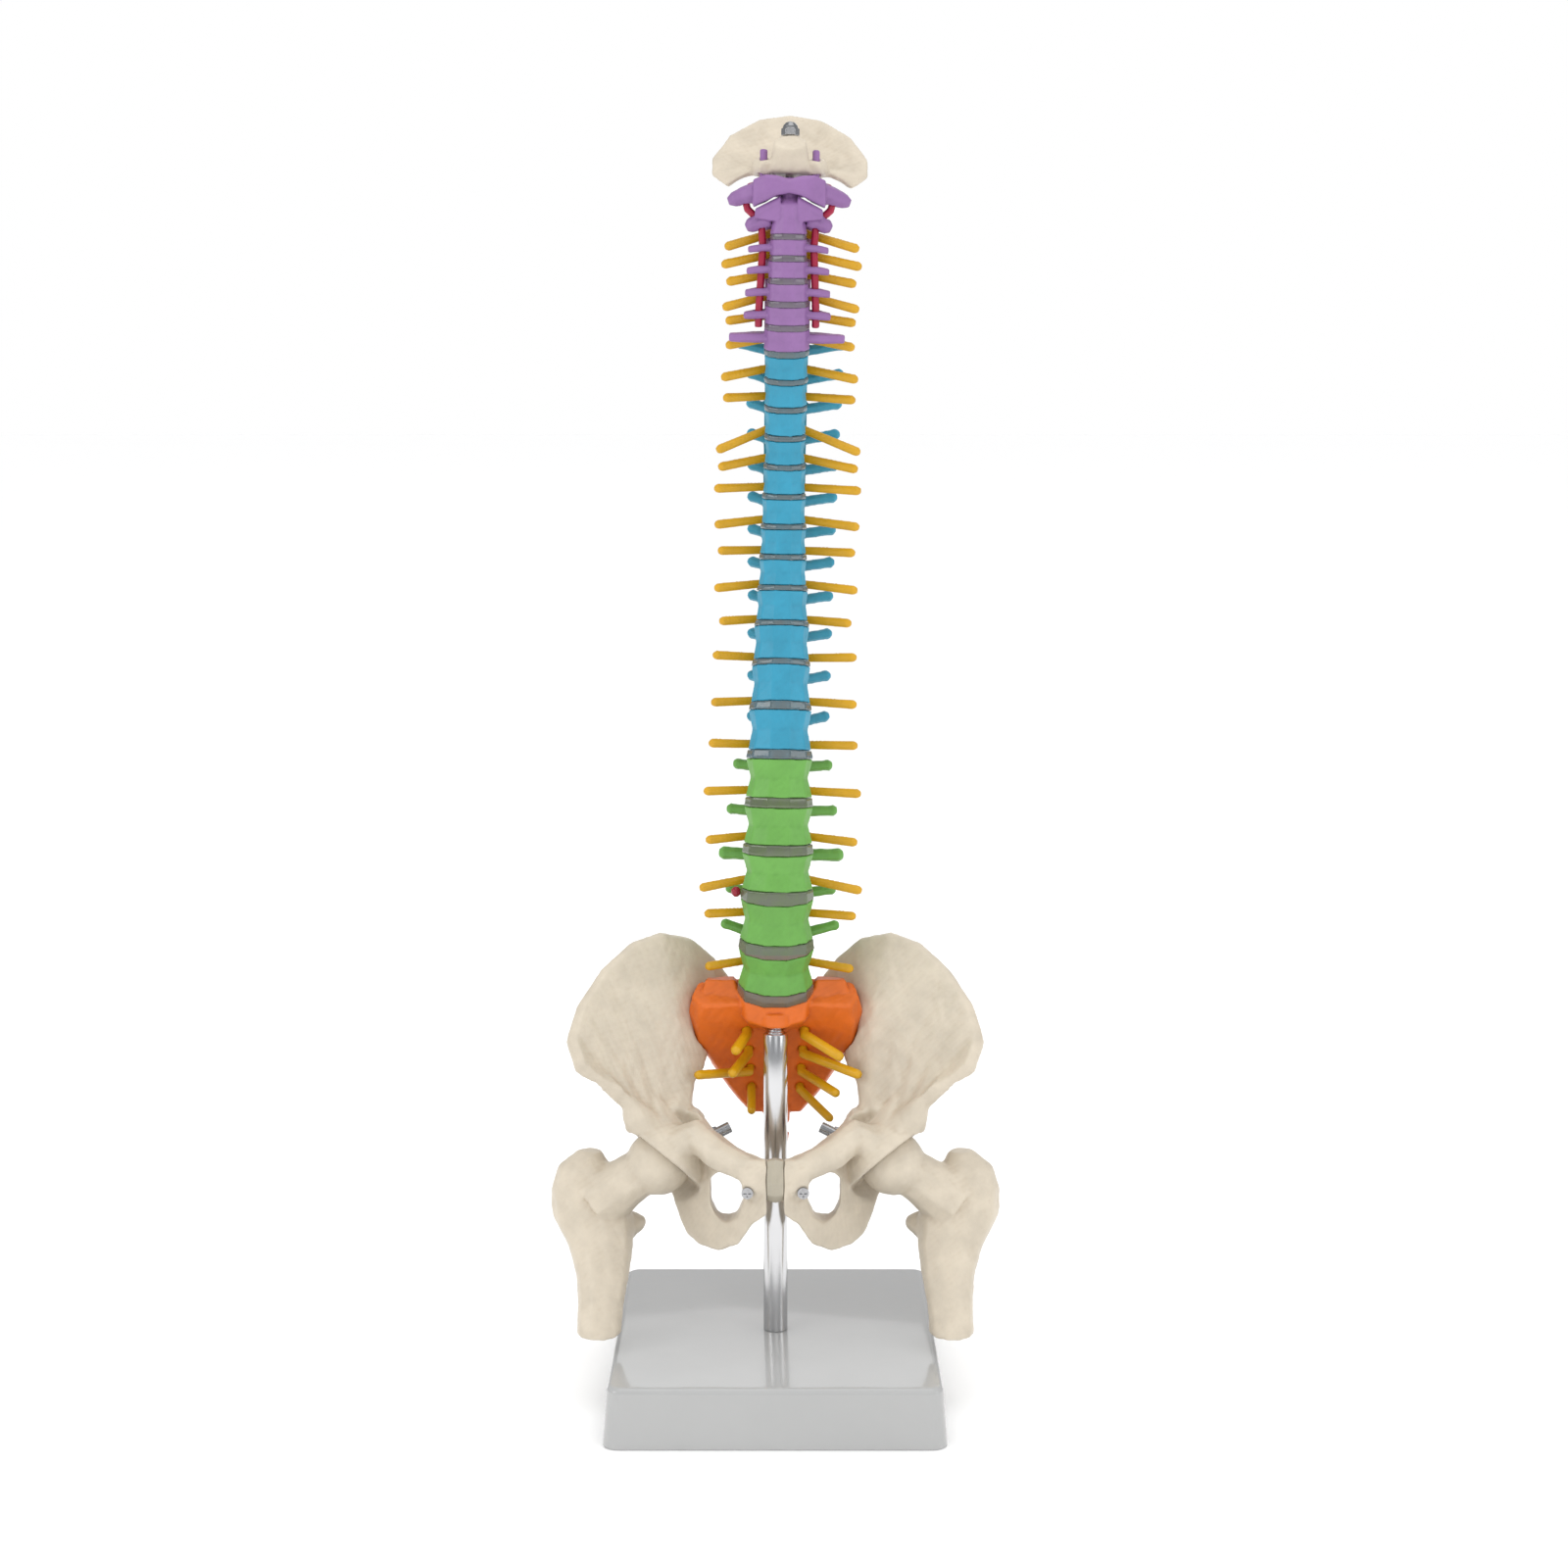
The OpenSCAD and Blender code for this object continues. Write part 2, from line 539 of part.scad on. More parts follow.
// Atlas: rows across the front arch and the side masses give depth and height
ATLAS = [[12, -3, 5, 10, 18.6], [8, -4.4, 5, 11.8, ATLAS_TOP], [4.2, -5, -1.8, 13.7, ATLAS_TOP - 0.3],
  [0, -5.3, -2.4, 14.5, ATLAS_TOP - 1.4]];
function atlas_ring(s, q) = [for (p = [[q[1] + 0.8, q[3]], [q[1], q[3] + 1.2], [q[1], q[4] - 1.2],
  [q[1] + 0.8, q[4]], [q[2], q[4]], [q[2], q[3]]]) [s * q[0], p.x, p.y]];

module on_axis() {
  translate(FOOT[22])
    rotate([tilt(22), 0, 0])
      children();
}

module peg(s, g) {
  translate([s * 8.8, 2.4, 16])
    cylinder(d = peg_d + 2 * g, h = ATLAS_TOP + 8.6 - 16 + 4 * g, $fn = 13);
}

module c1() {
  c = cy(22);
  color(neck_tint)
    leaning()
      difference() {
        on_axis() {
          translate([0, 0, 14.2])
            linear_extrude(2.6)
              difference() {
                polygon([for (i = [0:15]) [11.4 * cos(22.5 * i), c - 1.5 + 10.6 * sin(22.5 * i)]]);
                polygon([[-7.1, -9], [7.1, -9], [7.1, c], [6.4, c + 3.2], [4.2, c + 5.8], [0, c + 6.8],
                  [-4.2, c + 5.8], [-6.4, c + 3.2], [-7.1, c]]);
              }
          loft([for (q = ATLAS) atlas_ring(-1, q), for (i = [2:-1:0]) atlas_ring(1, ATLAS[i])]);
          for (s = [-1, 1]) {
            tube([[s * 10.5, 1.6, 15], [s * 15.2, 3, 13.4], [s * 18.6, 3.2, 12.2], [s * 20.4, 3.2, 11.6]],
              [3.4, 3.1, 2.4, 1.3], 7);
            peg(s, 0);
          }
        }
        for (s = [-1, 1])
          artery_path(s, gap * 1.5, 5, 9);
      }
}

// Discs fill the space between two plates and stand a little proud
function plate_of(k, s, g) = [for (p = kidney(10, bw(k) / 2 + g, bd(k) / 2 + g))
  loc(k, [p.x, p.y, s * (bh(k) / 2 + 0.01)])];

module disc(k) {
  low = k == 0
    ? [for (p = kidney(10, bw(0) / 2, bd(0) / 2)) FOOT[0] + spin(tilt(-1), [p.x, p.y, 0.02 - dt(0) / 2])]
    : plate_of(k - 1, 1, k < 5 ? 0 : disc_proud);
  high = k == 22
    ? [for (p = kidney(10, 6.2, 4.5)) FOOT[22] + spin(tilt(22), [p.x, p.y, dt(22) / 2])]
    : plate_of(k, -1, k < 5 ? 0 : disc_proud);
  w = (k == 22 ? 6.4 : bw(k) / 2) + disc_proud;
  d = (k == 22 ? 4.6 : bd(k) / 2) + disc_proud;
  middle = [for (p = kidney(10, w, d)) at_disc(k, [p.x, p.y, 0])];
  color(clear_tint)
    loft(k < 5 ? [[for (p = low) k == 0 ? p : lean(p)], [for (p = middle) lean(p)], [for (p = high) lean(p)]]
      : [[for (p = low) lean(p)], [for (p = high) lean(p)]]);
}

module disc_prolapse() {
  p = at_disc(2, [-bw(2) / 2 - disc_proud - prolapse_d * 0.42, 1.5, 0]);
  color(blood_tint)
    difference() {
      translate(lean(p))
        sphere(d = prolapse_d, $fn = 8);
      translate(lean(at_disc(2, [0, 0, 0])))
        rotate([dtilt(2), side_lean, 0])
          cube([bw(2) + 2 * disc_proud, bd(2), 30], center = true);
    }
}

// Cord and its steel core, swept through the canal
CORD = [loc(0, [0, cy(0), -pitch(0) / 2 - 8]), for (k = [0:2:20]) loc(k, [0, cy(k), 0]),
  loc(21, [0, cy(21), 0]), FOOT[22] + [0, cy(22), 9]];
CORD_W = [for (p = CORD) lean(p)];

module spinal_cord() {
  n = 6;
  m = len(CORD_W);
  big = [for (i = [0:m - 1]) hoop(CORD_W[i], along(CORD_W, i), n, cord_d / 2)];
  small = [for (i = [0:m - 1]) hoop(CORD_W[i], along(CORD_W, i), n, core_d / 2)];
  q = m * n;
  color(nerve_tint)
    polyhedron(
      points = [for (r = big) each r, for (r = small) each r],
      faces = [for (j = [0:m - 2], i = [0:n - 1])
        each [[j * n + i, (j + 1) * n + i, j * n + (i + 1) % n],
          [j * n + (i + 1) % n, (j + 1) * n + i, (j + 1) * n + (i + 1) % n],
          [q + j * n + i, q + j * n + (i + 1) % n, q + (j + 1) * n + i],
          [q + j * n + (i + 1) % n, q + (j + 1) * n + (i + 1) % n, q + (j + 1) * n + i]],
        for (i = [0:n - 1]) each [[i, (i + 1) % n, q + i], [(i + 1) % n, q + (i + 1) % n, q + i],
          [q - n + i, q + q - n + i, q - n + (i + 1) % n],
          [q - n + (i + 1) % n, q + q - n + i, q + q - n + (i + 1) % n]]]);
}

NUT_Z = FOOT[22].z + ATLAS_TOP + 14;
module core_rod() {
  top = CORD_W[len(CORD_W) - 1];
  color(steel) {
    tube(CORD_W, [for (p = CORD_W) core_d / 2], 6);
    leaning()
      translate([0, FOOT[22].y + cy(22), FOOT[22].z + 9])
        cylinder(d = core_d, h = NUT_Z - FOOT[22].z - 9 + 2, $fn = 16);
  }
}

module core_nut() {
  color(steel)
    leaning()
      translate([0, FOOT[22].y + cy(22), NUT_Z])
        difference() {
          union() {
            cylinder(d = 6.3, h = 2.4, $fn = 6);
            translate([0, 0, 2.2])
              rotate_extrude($fn = 14)
                polygon([[0, 0], [2.7, 0], [2.4, 1.2], [1.5, 2.2], [0, 2.7]]);
          }
          translate([0, 0, -1])
            cylinder(r = core_d / 2 + fit, h = 3 + 0.3, $fn = 16);
        }
}

// Nerve roots leave the canal between two arches
function drop(k) = lookup(k, [[0, 0.5], [1, -2], [2, 5], [3, 1], [6, 0.5], [9, 2], [12, 1], [14, 7],
  [15, 1], [17, 3], [19, 4], [22, 5]]) + 1.2 * sin(k * 137);
function reach(k) = lookup(k, [[0, 26], [2, 27.5], [5, 26], [8, 23.5], [12, 25], [17, 22],
  [22, 23]]) + 0.8 * sin(k * 211);
function root_z(k) = k >= 22 ? 2.4 : k > 16 ? dt(k) / 2 + bh(k) * 0.55 - nerve_d / 2 - 0.25
  : k == 1 ? bh(k) * 0.4 : bh(k) * 0.25;

module nerve_pair(k) {
  for (s = [-1, 1]) {
    x1 = reach(k) + s * 1.2;
    y1 = k > 16 ? cy(k) - 1.4 : cy(k) - 6;
    a = at_disc(k, [s * (cord_d / 2 + gap), cy(k), root_z(k)]);
    b = at_disc(k, [s * x1, y1, root_z(k) - drop(k)]);
    u = (b - a) / norm(b - a);
    tube([lean(a), lean(b - u), lean(b)], [nerve_d * 0.42, nerve_d / 2, nerve_d * 0.28]);
  }
}

module nerves(from, to) {
  color(nerve_tint)
    for (k = [from:to])
      nerve_pair(k);
}

// Sacral roots come forward out of the openings, each with its own free end
function root_r(i) = 1.7 - 0.1 * i;
ENDS_R = [[-14.4, -4, 122.6], [-15.6, -1, 113.7], [-28, -1.2, 113.7], [-8.6, 10, 97.4]];
ENDS_L = [[23.3, -3, 120.3], [29.9, -1.6, 113.7], [22, 1, 106.3], [19.9, 8, 95.3]];
module nerves_sacral() {
  color(nerve_tint)
    for (i = [0:3], s = [-1, 1]) {
      o = face_out(i);
      h = sacral_hole(i, s);
      e = (s < 0 ? ENDS_R : ENDS_L)[i] + [0, 0, s1_z - 143.7];
      u = (e - h - o * 3) / norm(e - h - o * 3);
      tube([h - o * 3, h + o * 2.4, e - u, e], [root_r(i), root_r(i), root_r(i), root_r(i) * 0.55], 6);
    }
}

module artery(s) {
  color(blood_tint)
    leaning()
      artery_path(s, 0);
}

// Occiput: rows of the shell run from the foot plate to the outer rim
OC = FOOT[22] + [0, cy(22), ATLAS_TOP + 3.4];
LAST = 10;
function turn(i) = -125 + 250 * i / LAST;
function rim(i) = let(a = turn(i), u = abs(a))
  [sign(a) * occiput_w * lookup(u, [[0, 0], [21, 0.32], [42, 0.64], [62, 0.88], [83, 1], [104, 0.95],
    [125, 0.77]]),
  lookup(u, [[0, 31], [21, 29], [42, 23.5], [62, 16], [83, 10], [104, 6], [125, 3]]),
  (occiput_top - OC.z) * lookup(u, [[0, 1], [21, 0.95], [42, 0.74], [62, 0.42], [83, 0.08], [104, -0.12],
    [125, -0.3]])];
function inner(i, f) = let(q = rim(i), a = turn(i), p = [9 * sin(a), 2 + 7.5 * cos(a), 0])
  [p.x + (q.x - p.x) * f * (1.12 - 0.12 * f), p.y + (q.y - p.y) * f * (1.25 - 0.25 * f),
  p.z + (q.z - p.z) * pow(f, 1.7)];
function row(i, f, g) = let(n = cross(inner(i + 0.2, f) - inner(i - 0.2, f),
  inner(i, f + 0.05) - inner(i, f - 0.05))) inner(i, f) + n / norm(n) * g;

module occiput() {
  rows = [0.14, 0.42, 0.72, 1];
  mid_in = inner(LAST / 2, 0.5);
  t = mid_in.y > 0 && row(LAST / 2, 0.5, 1).y > mid_in.y ? occiput_t : -occiput_t;
  color(bone)
    leaning()
      difference() {
        translate(OC)
          difference() {
            union() {
              loft([for (i = [0:LAST]) concat([for (f = rows) row(i, f, 0)],
                [for (j = [3:-1:0]) row(i, rows[j], t)])], false);
              // foot plate that closes the opening, and the post under the nut
              translate([0, 2, -3])
                cylinder(r1 = 11.4, r2 = 12.6, h = 3.6, $fn = 16);
              cylinder(r1 = 5.5, r2 = 3.6, h = NUT_Z - OC.z, $fn = 14);
              // stub of the skull base with its cut face
              loft([[for (p = oval(12, 9.6, 4.4)) [p.x, p.y - 6, -2.4]],
                [for (p = oval(12, 6.6, 4.2)) [p.x, p.y - 8, 2.6]],
                [for (p = oval(12, 5.8, 4.2)) [p.x, p.y * 0.72 - 10.4, 7.6 + p.y * 0.64]]]);
              // joint knuckles over the atlas
              for (s = [-1, 1])
                tube([[s * 8, -9, -1], [s * 9, -5.5, 0], [s * 9.8, 0, 0], [s * 10.4, 5, -0.6]],
                  [2.6, 3.6, 3.6, 2.6], 8);
            }
            translate([0, 0, -30])
              cylinder(r = core_d / 2 + fit, h = 60, $fn = 16);
          }
        // flat seat on the ring below and the holes of its pegs
        on_axis() {
          translate([-13.5, -6, ATLAS_TOP - 10.98])
            cube([27, 24, 11]);
          for (s = [-1, 1])
            peg(s, fit);
        }
      }
}

// Pelvis, drawn for the +X side and mirrored
HC = [hip_x, hip_y, hip_z];
AX = [-0.889, 0.222, 0.4] / norm([-0.889, 0.222, 0.4]);
OPEN = [0.62, -0.25, -0.74] / norm([0.62, -0.25, -0.74]);
CREST = [[17, 31, 141], [24, 28.5, 150], [31.5, 21, 158], [41, 14.5, 161], [51, 9, 158.3],
  [60.5, 1, 150.5], [68, -9, 140], [71, -17, 130], [67, -25, 121.5]];
BRIM = [[20, 29, 131], [25, 19, 121], [27.5, 10, 113], [32, 3, 107], [37, -2, 103],
  [42, -7, 101], [46, -12, 102], [49.5, -17, 105], [54, -21.5, 111.5]];
function blade_ring(i) = let(
  t = CREST[min(i + 1, 8)] - CREST[max(i - 1, 0)] + BRIM[min(i + 1, 8)] - BRIM[max(i - 1, 0)],
  u = CREST[i] - BRIM[i], nn = cross(t, u), n = nn / norm(nn),
  m = (CREST[i] + BRIM[i]) / 2 + n * 2.6 * sin(180 * i / 8))
  [CREST[i] + n * 2.8, CREST[i] + u / norm(u) * 1.2, CREST[i] - n * 2.8, m - n * 1.5,
  BRIM[i] - n * 3, BRIM[i] + n * 3, m + n * 1.5];

module aim(p, d) {
  f = frame_of(d);
  multmatrix([[f[0].x, f[1].x, f[2].x, p.x], [f[0].y, f[1].y, f[2].y, p.y],
    [f[0].z, f[1].z, f[2].z, p.z]])
    children();
}

// Front view of the lower plate and its opening, as points in X and Z
PLATE = [[1, 90], [12.4, 91.5], [20, 95.5], [27, 102], [40, 102], [46, 88], [38, 72.8], [36.4, 68.8],
  [34, 62.3], [31.5, 57.2], [27, 54.6], [19.6, 54.4], [12.6, 59.2], [7.8, 67.6], [3, 72.6], [1, 74]];
OPENING = [[22.6, 80], [20, 82.6], [16.3, 83], [12.4, 82], [10.9, 79], [11, 75], [13.6, 68.6],
  [17, 65.6], [20.4, 67.2], [22.4, 71]];

module hip_half() {
  difference() {
    union() {
      loft([for (i = [0:8]) blade_ring(i)], false);
      // hip socket block with the beam up to the brim
      translate(HC)
        sphere(r = nut_seat + 0.8, $fn = 14);
      tube([[30, 8, 113], [37, -1, 101], HC + [-3, 3, 2]], [2, 8, 11], 8);
      tube([[51, -19, 110], [49, -16, 104], [45, -11, 97], HC + [0, -2, 3]], [1.8, 5, 7.6, 10], 7);
      tube([[43, -8, 108], [41, -7, 98], HC], [1.5, 9, 12], 7);
      // plate around the large opening, turned back from the symphysis
      intersection() {
        translate([0, 60, hip_z - 84])
          rotate([90, 0, 0])
            linear_extrude(120)
              polygon(PLATE);
        translate([3, -31, pubis_z])
          rotate([0, 0, 47])
            translate([-8, -3.2, -32])
              cube([62, 6.4, 54]);
      }
      // seat bone
      tube([HC + [-4, 7, -2], [30.4, 5.5, 72], [28, 4.6, 63], [22.6, 0.6, 58]], [9.5, 7.2, 6.2, 4.2], 8);
      tube([[35, 10, 84], [29, 19, 84]], [6, 2], 6);
      // lower and upper branches of the pubic bone
      tube([[23, 1, 58.4], [13.4, -15, 65], [7, -26, 75]], [4.2, 3.5, 4], 7);
      tube([HC + [-5, -6, 5], [27, -15, 95], [20, -22, 90.4], [9, -30, pubis_z + 3]], [9, 6.6, 5.6, 4.8], 8);
      loft([[for (p = oval(8, 4.6, 8)) [1, p.x - 31.5, pubis_z + p.y]],
        [for (p = oval(8, 4.4, 7.6)) [11.5, p.x - 29.5, pubis_z + p.y]]]);
    }
    translate([0, 60, hip_z - 84])
      rotate([90, 0, 0])
        linear_extrude(120)
          polygon(OPENING);
    translate([-20 + symphysis_w / 2, -31, pubis_z])
      cube([40, 40, 60], center = true);
    // socket, cut open to the side and below
    translate(HC)
      sphere(r = head_d / 2 + gap, $fn = 14);
    aim(HC - OPEN * 2.5, OPEN)
      cylinder(r = 17, h = 22, $fn = 16);
    // seat of the wing nut and the bolt's bore
    aim(HC + AX * nut_seat, AX)
      cylinder(r = wing_span / 2 + 0.9, h = 16, $fn = 16);
    aim(HC, AX)
      cylinder(r = bolt_d / 2 + fit, h = 30, $fn = 16);
    shield(gap + 0.3);
    translate([9.6, -40, 80])
      rotate([-90, 0, 0])
        cylinder(d = 4 + 2 * fit, h = 40 - 32.5, $fn = 16);
  }
}

module hip_bone_left() {
  color(bone)
    hip_half();
}

module hip_bone_right() {
  color(bone)
    mirror([1, 0, 0])
      hip_half();
}

module symphysis_disc() {
  color(clear_tint)
    loft([[for (p = oval(10, 4.4, 7.4)) [-symphysis_w / 2, p.x - 31.5, pubis_z + p.y]],
      [for (p = oval(10, 5, 8)) [0, p.x - 31.7, pubis_z + p.y]],
      [for (p = oval(10, 4.4, 7.4)) [symphysis_w / 2, p.x - 31.5, pubis_z + p.y]]]);
}

module pubic_screws() {
  color(steel)
    for (s = [-1, 1])
      translate([s * 9.6, -32.5, 80])
        rotate([90, 0, 0])
          difference() {
            cylinder(d = 4, h = 1.8, $fn = 16);
            for (a = [0, 90])
              rotate([0, 0, a])
                translate([0, 0, 1.8])
                  cube([2.6, 0.6, 1.4], center = true);
          }
}

// Femur stump: centre and radii of each ring from the trochanter down
FEM = [[[65.5, -1, 86.8], 4.2, 4.4], [[67.6, -2, 81.5], 9.4, 7.6], [[67, -3, 73], 12.6, 9.2],
  [[64.6, -4, 64], 14.6, 9.6], [[61.6, -7.5, 54], shaft_d * 0.74, shaft_d * 0.56],
  [[60.6, -13, 45], shaft_d * 0.6, shaft_d * 0.53], [[61, -18, 36.5], shaft_d * 0.52, shaft_d * 0.5],
  [[61.4, -24.5, femur_bottom + 0], shaft_d * 0.5, shaft_d * 0.5]];

module femur_half() {
  difference() {
    union() {
      loft([for (i = [7:-1:0]) let(f = FEM[i]) [for (p = oval(10, f[1], f[2])) f[0] + p]]);
      aim(HC, [1, 0.1, -0.6])
        sphere(d = head_d, $fn = 14);
      tube([HC + [4, 0, -2], HC + [11, 1.2, -7], [62, -4, 69.5]], [8.4, 9, 11.4], 10);
      // small trochanter
      tube([[56, -3, 58], [50, 1, 60], [47.6, 2.6, 59], [46.6, 3, 58.4]], [7, 4.4, 3, 1.4], 7);
    }
    aim(HC - AX * 10, AX)
      cylinder(r = bolt_d / 2 + fit, h = 40, $fn = 16);
  }
}

module femur_left() {
  color(bone)
    femur_half();
}

module femur_right() {
  color(bone)
    mirror([1, 0, 0])
      femur_half();
}

module hip_bolt() {
  aim(HC - AX * 10, AX)
    cylinder(d = bolt_d, h = 10 + nut_seat + 12, $fn = 14);
}

module wing_nut() {
  aim(HC + AX * (nut_seat + fit), AX)
    difference() {
      union() {
        cylinder(d = 8, h = 1.2, $fn = 14);
        translate([0, 0, 1.2])
          cylinder(d1 = 7, d2 = 5.8, h = 4.3, $fn = 14);
        for (a = [0, 180])
          rotate([0, 0, a])
            rotate([90, 0, 0])
              translate([0, 0, -0.8])
                linear_extrude(1.6)
                  polygon([[2.4, 1.6], [wing_span / 2 - 1.4, 3.4], [wing_span / 2, 6.4],
                    [wing_span / 2 - 1.2, 8], [wing_span / 2 - 3.2, 6.6], [2.4, 5]]);
      }
      translate([0, 0, -1])
        cylinder(r = bolt_d / 2 + fit, h = 20, $fn = 14);
    }
}

module hip_bolt_left() {
  color(steel)
    hip_bolt();
}

module hip_bolt_right() {
  color(steel)
    mirror([1, 0, 0])
      hip_bolt();
}

module wing_nut_left() {
  color(steel)
    wing_nut();
}

module wing_nut_right() {
  color(steel)
    mirror([1, 0, 0])
      wing_nut();
}

base();
support_rod();
sacrum();
hip_bone_right();
hip_bone_left();
symphysis_disc();
pubic_screws();
femur_right();
femur_left();
hip_bolt_right();
hip_bolt_left();
wing_nut_right();
wing_nut_left();
lumbar(0);  // l5
lumbar(1);  // l4
lumbar(2);  // l3
lumbar(3);  // l2
lumbar(4);  // l1
thoracic(5);  // t12
thoracic(6);  // t11
thoracic(7);  // t10
thoracic(8);  // t9
thoracic(9);  // t8
thoracic(10);  // t7
thoracic(11);  // t6
thoracic(12);  // t5
thoracic(13);  // t4
thoracic(14);  // t3
thoracic(15);  // t2
thoracic(16);  // t1
cervical(17);  // c7
cervical(18);  // c6
cervical(19);  // c5
cervical(20);  // c4
cervical(21);  // c3
c2();
c1();
disc(0);  // disc_l5_s1
disc(1);  // disc_l4_l5
disc(2);  // disc_l3_l4
disc(3);  // disc_l2_l3
disc(4);  // disc_l1_l2
for (k = [5:16]) disc(k);  // discs_thoracic
for (k = [17:22]) disc(k);  // discs_cervical
disc_prolapse();
spinal_cord();
core_rod();
core_nut();
nerves(17, 22);  // nerves_cervical
nerves(5, 16);  // nerves_thoracic
nerves(0, 4);  // nerves_lumbar
nerves_sacral();
artery(-1);  // artery_right
artery(1);  // artery_left
occiput();
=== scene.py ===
import math

import bmesh
import bpy
import numpy as np
from mathutils import Matrix, Vector


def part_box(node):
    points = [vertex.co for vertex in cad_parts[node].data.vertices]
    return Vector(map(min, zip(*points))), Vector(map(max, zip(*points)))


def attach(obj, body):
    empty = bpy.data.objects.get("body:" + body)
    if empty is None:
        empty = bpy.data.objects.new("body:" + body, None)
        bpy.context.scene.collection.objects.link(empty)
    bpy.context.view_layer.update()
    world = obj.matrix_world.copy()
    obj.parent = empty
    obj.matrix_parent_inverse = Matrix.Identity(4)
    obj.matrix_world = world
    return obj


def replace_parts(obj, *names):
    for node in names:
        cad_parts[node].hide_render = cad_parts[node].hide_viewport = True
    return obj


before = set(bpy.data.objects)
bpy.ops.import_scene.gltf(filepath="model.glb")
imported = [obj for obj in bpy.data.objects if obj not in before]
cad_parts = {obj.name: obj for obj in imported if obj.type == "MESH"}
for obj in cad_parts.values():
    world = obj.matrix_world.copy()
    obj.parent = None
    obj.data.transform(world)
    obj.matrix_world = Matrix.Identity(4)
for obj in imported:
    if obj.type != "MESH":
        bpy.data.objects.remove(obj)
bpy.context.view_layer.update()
scene = bpy.context.scene

# Camera: a long lens a metre in front of the model and a little over the middle of
# its height, tipped down by about seven degrees, as worked out from the base and rod.
cam_data = bpy.data.cameras.new("camera")
cam_data.sensor_width = 36
cam_data.lens = 65.4
camera = bpy.data.objects.new("camera", cam_data)
camera.location = (0.003, -0.983, 0.343)
camera.rotation_euler = (math.radians(90 - 7.31), 0, 0)
scene.collection.objects.link(camera)
scene.camera = camera


# Cast skin: what all the soft-moulded bones share, a faint mottle in the dyed plastic,
# painted shade darkening the creases and hollows, and a fine satin grain, as colour masks and a normal.
skin = bpy.data.node_groups.new("cast_skin", "ShaderNodeTree")
skin.interface.new_socket("Grain", in_out="INPUT", socket_type="NodeSocketFloat").default_value = 0.25
skin.interface.new_socket("Mottle", in_out="OUTPUT", socket_type="NodeSocketFloat")
skin.interface.new_socket("CreaseShade", in_out="OUTPUT", socket_type="NodeSocketFloat")
skin.interface.new_socket("Normal", in_out="OUTPUT", socket_type="NodeSocketVector")
n = skin.nodes
g_in = n.new("NodeGroupInput")
g_out = n.new("NodeGroupOutput")
co = n.new("ShaderNodeTexCoord")
cloud = n.new("ShaderNodeTexNoise")
cloud.inputs["Scale"].default_value = 110
cloud.inputs["Detail"].default_value = 5
cloud.inputs["Roughness"].default_value = 0.6
spread = n.new("ShaderNodeMapRange")
spread.inputs["From Min"].default_value = 0.35
spread.inputs["From Max"].default_value = 0.68
# Painted shade mask: low pointiness, in creases and hollows, goes towards 1 and darkens the colour there.
geo = n.new("ShaderNodeNewGeometry")
crease_shade_mask = n.new("ShaderNodeMapRange")
crease_shade_mask.inputs["From Min"].default_value = 0.5
crease_shade_mask.inputs["From Max"].default_value = 0.43
grain = n.new("ShaderNodeTexNoise")
grain.inputs["Scale"].default_value = 2600
grain.inputs["Detail"].default_value = 3
lump = n.new("ShaderNodeTexNoise")
lump.inputs["Scale"].default_value = 420
lump.inputs["Detail"].default_value = 2
both = n.new("ShaderNodeMath")
both.operation = "MULTIPLY_ADD"
both.inputs[1].default_value = 2.2
bump = n.new("ShaderNodeBump")
bump.inputs["Distance"].default_value = 0.00025
for a, b in ((co.outputs["Object"], cloud.inputs["Vector"]), (co.outputs["Object"], grain.inputs["Vector"]),
             (co.outputs["Object"], lump.inputs["Vector"]), (cloud.outputs["Fac"], spread.inputs["Value"]),
             (geo.outputs["Pointiness"], crease_shade_mask.inputs["Value"]), (lump.outputs["Fac"], both.inputs[0]),
             (grain.outputs["Fac"], both.inputs[2]), (both.outputs[0], bump.inputs["Height"]),
             (g_in.outputs["Grain"], bump.inputs["Strength"]),
             (spread.outputs["Result"], g_out.inputs["Mottle"]),
             (crease_shade_mask.outputs["Result"], g_out.inputs["CreaseShade"]),
             (bump.outputs["Normal"], g_out.inputs["Normal"])):
    skin.links.new(a, b)


